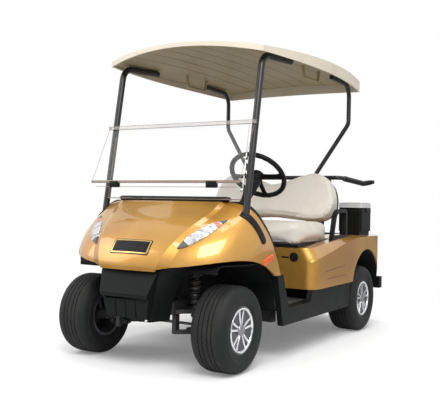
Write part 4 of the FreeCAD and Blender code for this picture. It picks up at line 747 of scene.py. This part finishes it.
def drawRings(piece, side, rings, startRadius, startAt):
    # extrudes the end cap on one side of the X axis through a list of rings
    editFaces(piece, lambda face: face.normal.x * side > 0.9 and face.calc_center_median().x * side > 0)
    radius = startRadius
    at = startAt
    for nextAt, nextRadius in rings:
        step = (nextAt - at) * side
        bpy.ops.mesh.extrude_region_move(TRANSFORM_OT_translate={"value": (step, 0, 0)})
        ratio = nextRadius / radius
        stretch(1, ratio, ratio)
        radius = nextRadius
        at = nextAt


def markWheelPlace(piece):
    # keeps each point's place about the wheel's centre for the rubber's pattern
    layer = piece.data.attributes.new("wheelPlace", "FLOAT_VECTOR", "POINT")
    for point, item in zip(piece.data.vertices, layer.data):
        item.vector = point.co


def makeTyre():
    look = tyreLook
    deselectAll()
    bpy.ops.mesh.primitive_cylinder_add(
        vertices=look["pitches"] * 2,
        radius=look["radius"],
        depth=look["middleRib"] * 2,
        rotation=(0, math.pi / 2, 0),
    )
    tyre = bpy.context.object
    settle(tyre)
    for side in (1, -1):
        drawRings(tyre, side, look["rings"], look["radius"], look["middleRib"])
        bpy.ops.mesh.delete(type="FACE")
        leaveEdit()
    turn = math.pi / look["pitches"]

    def onTooth(place):
        index = round(math.atan2(place.z, place.y) / turn)
        return index % 2 and look["zigzagFrom"] < abs(place.x) < look["zigzagTo"]

    for side in (1, -1):
        editPoints(tyre, lambda place: onTooth(place) and place.x * side > 0)
        push(look["zigzag"] * side, 0, 0)
        leaveEdit()
    markWheelPlace(tyre)
    return tyre


firstTyre = makeTyre()
for wheelName, centre in wheelPlaces.items():
    tyre = moved(copyOf(firstTyre, "treadedTyre_" + wheelName), centre)
    finishPiece(tyre, wheelName + "_wheel", rubber, 30, ["tyre_" + wheelName])
bpy.data.objects.remove(firstTyre)
print("tyres made")

coverLook = {
    "ringRadius": 0.1135,
    "ringThick": 0.0085,
    "ringAt": 0.0825,
    "dish": [(0.0790, 0.100), (0.0745, 0.080), (0.0725, 0.050), (0.0720, 0.034)],
    "cap": [(0.0840, 0.0310), (0.0880, 0.0280), (0.0900, 0.0180)],
    "spokePairs": 5,
    "pairTurn": 11.5,
    "spokeInner": 0.024,
    "spokeOuter": 0.110,
    "spokeWidth": 0.0125,
    "spokeLow": 0.0715,
    "spokeHigh": 0.0855,
    "spokeNeck": 0.6,
    "neckDrop": 0.001,
    "middleReach": 0.02,
    "middleDrop": 0.003,
    "spokeEdge": 0.0028,
}


def makeCoverRing():
    look = coverLook
    deselectAll()
    bpy.ops.mesh.primitive_torus_add(
        major_radius=look["ringRadius"],
        minor_radius=look["ringThick"],
        major_segments=72,
        minor_segments=12,
        location=(look["ringAt"], 0, 0),
        rotation=(0, math.pi / 2, 0),
    )
    ring = bpy.context.object
    settle(ring)
    pieces = [ring]
    half = look["spokeWidth"] / 2
    top = look["spokeHigh"]
    reach = look["middleReach"]
    low = (look["spokeLow"], -half, look["spokeInner"])
    spoke = makeBlock("spoke", low, (top, half, look["spokeOuter"]))
    editFaces(spoke, lambda face: True)
    bpy.ops.mesh.subdivide(number_cuts=2)
    leaveEdit()
    middle = (look["spokeInner"] + look["spokeOuter"]) / 2
    editPoints(spoke, lambda place: place.z < middle - reach)
    stretch(1, look["spokeNeck"], 1)
    push(-look["neckDrop"], 0, 0)
    leaveEdit()
    editPoints(spoke, lambda place: abs(place.z - middle) < reach and place.x > top - 0.001)
    push(-look["middleDrop"], 0, 0)
    leaveEdit()
    soften(spoke, look["spokeEdge"], 3, 0.9)
    for pair in range(look["spokePairs"]):
        for side in (1, -1):
            turned = copyOf(spoke, "spokeCopy")
            angle = 360 / look["spokePairs"] * pair + side * look["pairTurn"]
            turned.rotation_euler = (math.radians(angle), 0, 0)
            settle(turned)
            pieces.append(turned)
    bpy.data.objects.remove(spoke)
    return joined(pieces, "coverRing")


def makeDisc(name, startAt, startRadius, rings, sides=64):
    # a round plate whose outer face steps through the rings
    thick = 0.004
    deselectAll()
    bpy.ops.mesh.primitive_cylinder_add(
        vertices=sides,
        radius=startRadius,
        depth=thick,
        location=(startAt - thick / 2, 0, 0),
        rotation=(0, math.pi / 2, 0),
    )
    disc = bpy.context.object
    disc.name = name
    settle(disc)
    drawRings(disc, 1, rings, startRadius, startAt)
    leaveEdit()
    return disc


ringModel = makeCoverRing()
dishModel = makeDisc("coverDish", 0.0810, 0.108, coverLook["dish"])
capModel = makeDisc("coverCap", 0.0760, 0.0325, coverLook["cap"], 40)
for wheelName, centre in wheelPlaces.items():
    for model, word, material, slotName in (
        (ringModel, "coverRing_", chrome, "chrome"),
        (dishModel, "coverDish_", wheelSteel, "steel"),
        (capModel, "coverCap_", capGrey, "chrome"),
    ):
        copyIt = copyOf if centre[0] > 0 else mirroredCopy
        piece = moved(copyIt(model, word + wheelName), centre)
        finishPiece(piece, wheelName + "_wheel", material, 30)
for model in (ringModel, dishModel, capModel):
    bpy.data.objects.remove(model)
print("wheel covers made")


# upholstery

cushionLook = {
    "low": (-0.464, -0.110, 0.642),
    "high": (0.464, 0.378, 0.764),
    "corner": 0.055,
    "edge": 0.034,
    "voxel": 0.006,
    "pressure": 1.6,
    "cap": 0.011,
    "fill": 0.65,
}
backrestLook = {
    "shrink": 0.009,
    "voxel": 0.006,
    "pressure": 1.4,
    "cap": 0.010,
    "fill": 0.65,
}
clothFrames = 20


def puff(piece, look):
    # swells the piece like stuffed upholstery, with a cap on how far a point may move
    modify(piece, "REMESH", mode="VOXEL", voxel_size=look["voxel"])
    start = [point.co.copy() for point in piece.data.vertices]
    pick(piece)
    cloth = piece.modifiers.new("Stuffing", "CLOTH")
    cloth.settings.use_pressure = True
    cloth.settings.uniform_pressure_force = look["pressure"]
    cloth.settings.effector_weights.gravity = 0.0
    for count in range(clothFrames):
        bpy.context.scene.frame_set(count + 1)
    bpy.ops.object.modifier_apply(modifier=cloth.name)
    bpy.context.scene.frame_set(1)
    for point, before in zip(piece.data.vertices, start):
        shift = point.co - before
        if shift.length > look["cap"]:
            point.co = before + shift.normalized() * look["cap"]
    modify(piece, "SUBSURF", levels=1, render_levels=1)


def makeCushion():
    look = cushionLook
    cushion = makeBlock("paddedSeat", look["low"], look["high"])
    bevelAlong(cushion, 2, 0.01, look["corner"])
    editFaces(cushion, lambda face: face.normal.z > 0.9)
    bpy.ops.mesh.region_to_loop()
    bpy.ops.mesh.bevel(offset=look["edge"], segments=4)
    leaveEdit()
    puff(cushion, look)
    finishPiece(cushion, "seat", vinyl, 60, ["seat_cushion"])


def makeBackrest():
    look = backrestLook
    backrest = copyOf(nodes["seat_back"], "paddedBackrest")
    backrest.parent = None
    editAll(backrest)
    bpy.ops.mesh.remove_doubles(threshold=0.0001)
    bpy.ops.transform.shrink_fatten(value=-look["shrink"])
    leaveEdit()
    puff(backrest, look)
    finishPiece(backrest, "chassis", vinyl, 60, ["seat_back"])


makeCushion()
makeBackrest()
print("upholstery made")


# trim on the front body

gasketLook = {
    "edgeTop": (0.0, -0.764, 0.895),
    "downEdge": (0.0, 0.513, -0.858),
    "backward": (0.0, 0.858, 0.513),
    "band": 0.022,
    "cut": (1.2, 1.4, 0.4),
    "below": 0.2,
    "edge": 0.001,
    "lift": 0.0025,
}


def makeGasket():
    look = gasketLook
    down = Vector(look["downEdge"])
    backward = Vector(look["backward"])
    inward = look["cut"][2] / 2 - look["band"]
    centre = Vector(look["edgeTop"]) + down * look["below"] + backward * inward
    cutter = makeCutter(centre, look["cut"], backward, down)
    finishTrim(patchOn("front_cowl", "cowlGasket", cutter, look["lift"], look["edge"]))


postStripLook = {
    "centre": (0.547, -0.796, 0.768),
    "size": (0.205, 0.046, 0.150),
    "along": (0.0, -0.429, 0.903),
    "corner": 0.018,
    "edge": 0.0012,
    "lift": 0.004,
}
reflectorLook = {
    "centre": (0.575, -0.712, 0.586),
    "size": (0.112, 0.029, 0.060),
    "along": (0.0, 0.107, 0.036),
    "corner": 0.007,
    "edge": 0.0012,
    "lift": 0.0035,
}


def makeSidePatches(look, name, material):
    # one patch on each side of the bonnet
    x, y, z = look["centre"]
    for side, word in sides:
        cutter = makeCutter((x * side, y, z), look["size"], (side, 0, 0), look["along"], look["corner"])
        patch = patchOn("front_cowl", name + word, cutter, look["lift"], look["edge"])
        finishPiece(patch, "chassis", material)


badgeLook = {
    "centre": (0.0, -1.164, 0.648),
    "facing": (0.0, -0.806, 0.591),
    "depth": 0.06,
    "edge": 0.0006,
    "layers": {
        "badgeEdge": {"size": (0.250, 0.092), "lift": 0.0020, "corner": 0.010},
        "badgeFrame": {"size": (0.242, 0.084), "lift": 0.0034, "corner": 0.008},
        "badgePlate": {"size": (0.226, 0.068), "lift": 0.0042, "corner": 0.005},
    },
}


def makeBadge():
    # a blank plate: black edge, gold frame, black middle
    look = badgeLook
    materials = {"badgeEdge": softBlack, "badgeFrame": trimGold, "badgePlate": softBlack}
    for name, layer in look["layers"].items():
        size = (*layer["size"], look["depth"])
        cutter = makeCutter(look["centre"], size, look["facing"], corner=layer["corner"])
        patch = patchOn("front_cowl", name, cutter, layer["lift"], look["edge"])
        finishPiece(patch, "chassis", materials[name])


headLampLook = {
    "start": (0.275, -1.130, 0.655),
    "run": (0.159, 0.239, 0.145),
    "facing": (0.46, -0.66, 0.58),
    # share of the lamp's length, length of the band, lift above the reflector
    "bands": {
        "lampNoseEnd": (0.05, 0.060, 0.0010),
        "lampTailEnd": (0.95, 0.075, 0.0010),
        "lampAmber": (0.77, 0.026, 0.0012),
    },
    "bowls": {"lampBowlFront": 0.34, "lampBowlBack": 0.56},
    "bandWidth": 0.2,
    "bandEdge": 0.0004,
    "bowlSize": 0.046,
    "bowlCorner": 0.49,
    "bowlLift": 0.0018,
    "bowlEdge": 0.0006,
    "cutDepth": 0.12,
    "coverLift": 0.0028,
}


def makeHeadLamps():
    look = headLampLook
    materials = {"lampNoseEnd": softBlack, "lampTailEnd": softBlack, "lampAmber": amberLens}
    depth = look["cutDepth"]
    across = look["bowlSize"]
    for side, word in sides:
        flip = Vector((side, 1, 1))
        start = Vector(look["start"]) * flip
        run = Vector(look["run"]) * flip
        facing = Vector(look["facing"]) * flip
        for name, (share, length, lift) in look["bands"].items():
            cutter = makeCutter(start + run * share, (length, look["bandWidth"], depth), facing, run)
            patch = patchOn("head_lamps", name + word, cutter, lift, look["bandEdge"])
            finishPiece(patch, "chassis", materials[name])
        for name, share in look["bowls"].items():
            corner = across * look["bowlCorner"]
            cutter = makeCutter(start + run * share, (across, across, depth), facing, run, corner)
            patch = patchOn("head_lamps", name + word, cutter, look["bowlLift"], look["bowlEdge"])
            finishPiece(patch, "chassis", chrome)
    cover = mergedCopy("head_lamps", look["coverLift"])
    cover.name = "lampCover"
    finishPiece(cover, "chassis", lampLens)


padLook = {
    "low": (-0.376, -0.8130, 0.9020),
    "high": (0.376, -0.7660, 0.9225),
    "slope": 0.016,
    "edge": 0.004,
    "endFrom": 0.37,
    "topFrom": 0.92,
}


def makeDashPad():
    # raised pad along the bonnet's back edge, with sloping ends
    look = padLook
    pad = makeBlock("dashPad", look["low"], look["high"])

    def atTopEnd(point):
        return abs(point.co.x) > look["endFrom"] and point.co.z > look["topFrom"]

    editEdges(pad, lambda edge: all(atTopEnd(point) for point in edge.verts))
    bpy.ops.mesh.bevel(offset=look["slope"], segments=3)
    leaveEdit()
    soften(pad, look["edge"], 3)
    finishTrim(pad)


makeGasket()
makeDashPad()
makeSidePatches(postStripLook, "postStrip", softBlack)
makeSidePatches(reflectorLook, "sideReflector", amberLens)
makeBadge()
makeHeadLamps()
print("front trim made")


# fittings of the windscreen, seat box, body sides and tail

clipLook = {
    "low": (0.299, -0.9190, 0.968),
    "high": (0.367, -0.8985, 1.005),
    "edge": 0.004,
    "screw": 0.005,
    "screwShares": (0.25, 0.75),
    "screwIn": 0.002,
    "screwOut": 0.0025,
    "screwEdge": 0.0008,
}


def makeClips():
    look = clipLook
    clip = makeBlock("screenClip", look["low"], look["high"])
    soften(clip, look["edge"], 3)
    pieces = [clip]
    low = Vector(look["low"])
    high = Vector(look["high"])
    z = (low.z + high.z) / 2
    for share in look["screwShares"]:
        x = low.x + (high.x - low.x) * share
        inner = (x, low.y + look["screwIn"], z)
        screw = makeRod("clipScrew", inner, (x, low.y - look["screwOut"], z), look["screw"], 6)
        soften(screw, look["screwEdge"])
        pieces.append(screw)
    finishPair(joined(pieces, "screenClipLeft"), "screenClipRight", softBlack)


paneEdgeLook = {
    "foldBar": ((-0.505, -0.9165, 0.9930), (0.505, -0.9050, 1.0090)),
    "clipRod": ((-0.478, -0.9090, 0.9705), (0.478, -0.9050, 0.9740)),
    "paneFoot": ((-0.462, -0.8165, 0.9045), (0.462, -0.8085, 0.9100)),
}
paneEdgeRounding = 0.0014


def makePaneEdges():
    # thick tinted edges of the folded and the lower pane
    for name, (low, high) in paneEdgeLook.items():
        bar = makeBlock(name, low, high)
        soften(bar, paneEdgeRounding, 3)
        finishPiece(bar, "chassis", paneEdge)


cornerLook = {
    "radius": 0.0698,
    "upright": ((0.522, -0.045, 0.3665), (0.522, -0.045, 0.5570), (0.707, -0.707, 0.0)),
    "leaning": ((0.5368, -0.045, 0.5150), (0.4973, -0.045, 0.5830), (0.610, -0.707, 0.355)),
    "sides": 144,
    "spread": 0.945,
    "wall": 0.0015,
}


def makeBodyCorners():
    # rounded skin that closes the seat box's front corners
    look = cornerLook
    strips = []
    for name in ("upright", "leaning"):
        start, end, facing = look[name]
        facing = Vector(facing).normalized()
        strip = makeRod(name, start, end, look["radius"], look["sides"])
        editFaces(strip, lambda face: face.normal.dot(facing) < look["spread"])
        bpy.ops.mesh.delete(type="FACE")
        leaveEdit()
        modify(strip, "SOLIDIFY", thickness=look["wall"], offset=-1.0)
        strips.append(strip)
    finishPair(joined(strips, "bodyCornerLeft"), "bodyCornerRight", goldPaint)


portLook = {
    "centre": (0.450, -0.115, 0.562),
    "radius": 0.028,
    "sunk": 0.002,
    "deep": 0.006,
    "edge": 0.0008,
    # inset and step inwards of each ring on the cover
    "rings": ((0.005, 0.003), (0.006, -0.004)),
    "slotLow": (0.364, -0.1175, 0.554),
    "slotSize": (0.052, 0.004, 0.009),
    "slotEdge": 0.0015,
}


def makeChargePort():
    # round black socket cover, and a small slot on the front of the seat box drawn as a thin black
    # block, a painted shade for the recess
    look = portLook
    centre = Vector(look["centre"])
    back = centre + Vector((0, look["sunk"], 0))
    port = makeRod("portCover", back, centre - Vector((0, look["deep"], 0)), look["radius"], 48)
    editFaces(port, lambda face: face.normal.y < -0.9)
    for inset, step in look["rings"]:
        sink(inset, (0, step, 0))
    leaveEdit()
    soften(port, look["edge"])
    finishTrim(port)
    # painted shade: the slot is a black block standing in for the shade inside a recess in the gold
    # skin
    low = Vector(look["slotLow"])
    slot = makeBlock("keySlot", low, low + Vector(look["slotSize"]))
    soften(slot, look["slotEdge"], 3)
    finishTrim(slot)


sideLineLook = {
    "upperLine": {"centre": (0.590, 0.2205, 0.4785), "along": (0.0, 0.335, 0.019), "length": 0.335},
    "lowerLine": {"centre": (0.590, 0.2395, 0.4230), "along": (0.0, 0.329, 0.008), "length": 0.329},
    "width": 0.0045,
    "depth": 0.03,
    "corner": 0.0021,
    "edge": 0.0003,
    "lift": 0.0007,
}


def makeSideLines():
    # each engraved line is a thin strip raised on the skin in the dark gold, as painted shade for the
    # groove
    look = sideLineLook
    for side, word in sides:
        for name in ("upperLine", "lowerLine"):
            line = look[name]
            x, y, z = line["centre"]
            size = (line["length"], look["width"], look["depth"])
            cutter = makeCutter((x * side, y, z), size, (side, 0, 0), line["along"], look["corner"])
            patch = patchOn("rear_body", name + word, cutter, look["lift"], look["edge"])
            finishPiece(patch, "chassis", engravedLineShade)


bezelLook = {
    "low": (0.370, 1.1355, 0.545),
    "high": (0.460, 1.1480, 0.635),
    "corner": 0.010,
    "rim": 0.008,
    "hollow": 0.004,
    "edge": 0.001,
}


def makeTailBezels():
    look = bezelLook
    bezel = makeBlock("tailBezelLeft", look["low"], look["high"])
    bevelAlong(bezel, 1, 0.005, look["corner"])
    editFaces(bezel, lambda face: face.normal.y > 0.9)
    sink(look["rim"], (0, -look["hollow"], 0))
    leaveEdit()
    soften(bezel, look["edge"])
    finishPair(bezel, "tailBezelRight", softBlack)


makeClips()
makePaneEdges()
makeBodyCorners()
makeChargePort()
makeSideLines()
makeTailBezels()
print("fittings made")


# steering wheel: thick rim, pad and shaped spokes, made flat and then tilted onto the column

steeringLook = {
    "centre": (0.270, -0.275, 1.062),
    "tilt": -45.0,
    "rim": 0.170,
    "thick": 0.0155,
    "hollowTop": -0.006,
    "hollow": 0.0022,
    "hub": 0.043,
    "hubLow": -0.046,
    "hubTaper": 0.78,
    "hubEdge": 0.003,
    "padHigh": 0.004,
    # inset and rise of each step on the pad
    "padSteps": ((0.008, 0.006), (0.010, 0.002)),
    "spokeInner": 0.026,
    "spokeWidth": 0.044,
    "spokeWaist": 0.62,
    "spokeThin": 0.8,
    "spokeEdge": 0.004,
    "spokeLow": -0.016,
    "spokeHigh": -0.002,
    "angles": (0, 90, 180),
    "shroud": 0.040,
    "shroudLow": -0.180,
    "shroudHigh": -0.051,
    "shroudTaper": 0.74,
    "shroudEdge": 0.004,
}


def tilted(piece):
    piece.rotation_euler = (math.radians(steeringLook["tilt"]), 0, 0)
    return moved(piece, steeringLook["centre"])


def makeSteeringWheel():
    look = steeringLook
    deselectAll()
    bpy.ops.mesh.primitive_torus_add(
        major_radius=look["rim"],
        minor_radius=look["thick"],
        major_segments=72,
        minor_segments=14,
    )
    rim = bpy.context.object
    settle(rim)

    def inHollow(place):
        # points of the finger hollows on the rim's underside
        index = round(math.atan2(place.y, place.x) * 36 / math.pi)
        return place.z < look["hollowTop"] and index % 3 == 0

    editPoints(rim, inHollow)
    push(0, 0, look["hollow"])
    leaveEdit()
    hub = makeRod("hub", (0, 0, look["hubLow"]), (0, 0, look["padHigh"]), look["hub"], 40)
    editFaces(hub, lambda face: face.normal.z < -0.9)
    stretch(look["hubTaper"], look["hubTaper"], 1)
    leaveEdit()
    editFaces(hub, lambda face: face.normal.z > 0.9)
    for inset, rise in look["padSteps"]:
        dome(inset, (0, 0, rise))
    leaveEdit()
    soften(hub, look["hubEdge"], 3, 0.6)
    half = look["spokeWidth"] / 2
    inner = look["spokeInner"]
    spoke = makeBlock("spoke", (inner, -half, look["spokeLow"]), (look["rim"], half, look["spokeHigh"]))
    editFaces(spoke, lambda face: True)
    bpy.ops.mesh.subdivide(number_cuts=3)
    leaveEdit()
    length = look["rim"] - inner
    editPoints(spoke, lambda place: 0.2 < (place.x - inner) / length < 0.8)
    stretch(1, look["spokeWaist"], look["spokeThin"])
    leaveEdit()
    soften(spoke, look["spokeEdge"], 3, 0.6)
    pieces = [rim, hub]
    for angle in look["angles"]:
        turned = copyOf(spoke, "spokeCopy")
        turned.rotation_euler = (0, 0, math.radians(angle))
        settle(turned)
        pieces.append(turned)
    bpy.data.objects.remove(spoke)
    wheel = tilted(joined(pieces, "rimmedWheel"))
    finishPiece(wheel, "steering_wheel", softBlack, 40, ["steering_wheel"])
    low = (0, 0, look["shroudLow"])
    shroud = makeRod("columnShroud", low, (0, 0, look["shroudHigh"]), look["shroud"], 32)
    editFaces(shroud, lambda face: face.normal.z < -0.9)
    stretch(look["shroudTaper"], look["shroudTaper"], 1)
    leaveEdit()
    soften(shroud, look["shroudEdge"], 3)
    finishTrim(tilted(shroud))


makeSteeringWheel()
print("steering wheel made")


# front coil springs around the struts

coilLook = {
    "centre": (0.250, -0.915, 0.329),
    "radius": 0.0315,
    "wire": 0.0055,
    "rise": 0.168,
    "turns": 6,
    "steps": 28,
    "cup": 0.038,
    "cupThick": 0.008,
    "cupEdge": 0.002,
}


def makeCoils():
    look = coilLook
    deselectAll()
    bpy.ops.mesh.primitive_circle_add(
        vertices=10, radius=look["wire"], location=(look["radius"], 0, 0), rotation=(math.pi / 2, 0, 0)
    )
    coil = bpy.context.object
    settle(coil)
    modify(
        coil,
        "SCREW",
        angle=2 * math.pi,
        iterations=look["turns"],
        screw_offset=look["rise"] / look["turns"],
        steps=look["steps"],
        render_steps=look["steps"],
        use_smooth_shade=True,
    )
    pieces = [coil]
    for low in (-look["cupThick"], look["rise"]):
        cup = makeRod("springCup", (0, 0, low), (0, 0, low + look["cupThick"]), look["cup"], 32)
        soften(cup, look["cupEdge"])
        pieces.append(cup)
    coil = moved(joined(pieces, "coilSpringLeft"), look["centre"])
    editAll(coil)
    bpy.ops.mesh.normals_make_consistent(inside=False)
    leaveEdit()
    finishPair(coil, "coilSpringRight", coilBlack)


makeCoils()
print("coil springs made")


# cooler: dark top on the lid, belt and latch on the box

coolerLook = {
    "topLow": (0.381, 0.817, 0.9040),
    "topHigh": (0.529, 1.001, 0.9085),
    "topCorner": 0.014,
    "topEdge": 0.0015,
    "beltCentre": (0.455, 0.909, 0.846),
    "beltCut": (0.5, 0.5, 0.014),
    "beltLift": 0.003,
    "beltEdge": 0.001,
    "latchLow": (0.5415, 0.889, 0.838),
    "latchHigh": (0.5510, 0.929, 0.8700),
    "latchEdge": 0.003,
}


def makeCoolerFittings():
    look = coolerLook
    top = makeBlock("coolerTop", look["topLow"], look["topHigh"])
    bevelAlong(top, 2, 0.002, look["topCorner"])
    soften(top, look["topEdge"])
    finishPiece(top, "cooler_cover", softBlack)
    cutter = makeCutter(look["beltCentre"], look["beltCut"], (0, 0, 1))
    finishTrim(patchOn("cooler_box", "coolerBelt", cutter, look["beltLift"], look["beltEdge"]))
    latch = makeBlock("coolerLatch", look["latchLow"], look["latchHigh"])
    soften(latch, look["latchEdge"], 3)
    finishTrim(latch)


makeCoolerFittings()
print("cooler fittings made")


# sleeves on the rack's arms, and the strip and knobs that hold the pane at the driver's side

sleeveLook = {"centre": (0.440, 0.905, 1.070), "size": (0.300, 0.380, 0.160), "lift": 0.0045}


def makeRackSleeves():
    look = sleeveLook
    x, y, z = look["centre"]
    for side, word in sides:
        cutter = makeCutter((x * side, y, z), look["size"], (0, 0, 1))
        finishTrim(patchOn("bag_rack", "rackSleeve" + word, cutter, look["lift"], 0.0))


knobLook = {
    "foot": (0.4660, -0.8115, 0.930),
    "head": (0.4660, -0.7690, 1.160),
    "strip": 0.0040,
    "radius": 0.0095,
    "sunk": 0.004,
    "deep": 0.016,
    "dome": 0.003,
    "edge": 0.001,
    "shares": (0.12, 0.50, 0.88),
}


def makePaneKnobs():
    look = knobLook
    foot = Vector(look["foot"])
    run = Vector(look["head"]) - foot
    strip = makeRod("paneStrip", foot, foot + run, look["strip"], 16)
    soften(strip, look["edge"])
    pieces = [strip]
    for share in look["shares"]:
        place = foot + run * share
        back = place + Vector((0, look["sunk"], 0))
        knob = makeRod("paneKnob", back, place - Vector((0, look["deep"], 0)), look["radius"], 24)
        editFaces(knob, lambda face: face.normal.y < -0.9)
        dome(look["dome"], (0, -look["dome"], 0))
        leaveEdit()
        soften(knob, look["edge"], 2, 0.6)
        pieces.append(knob)
    finishPiece(joined(pieces, "paneKnobs"), "chassis", chrome)


makeRackSleeves()
makePaneKnobs()
print("rack sleeves and pane knobs made")
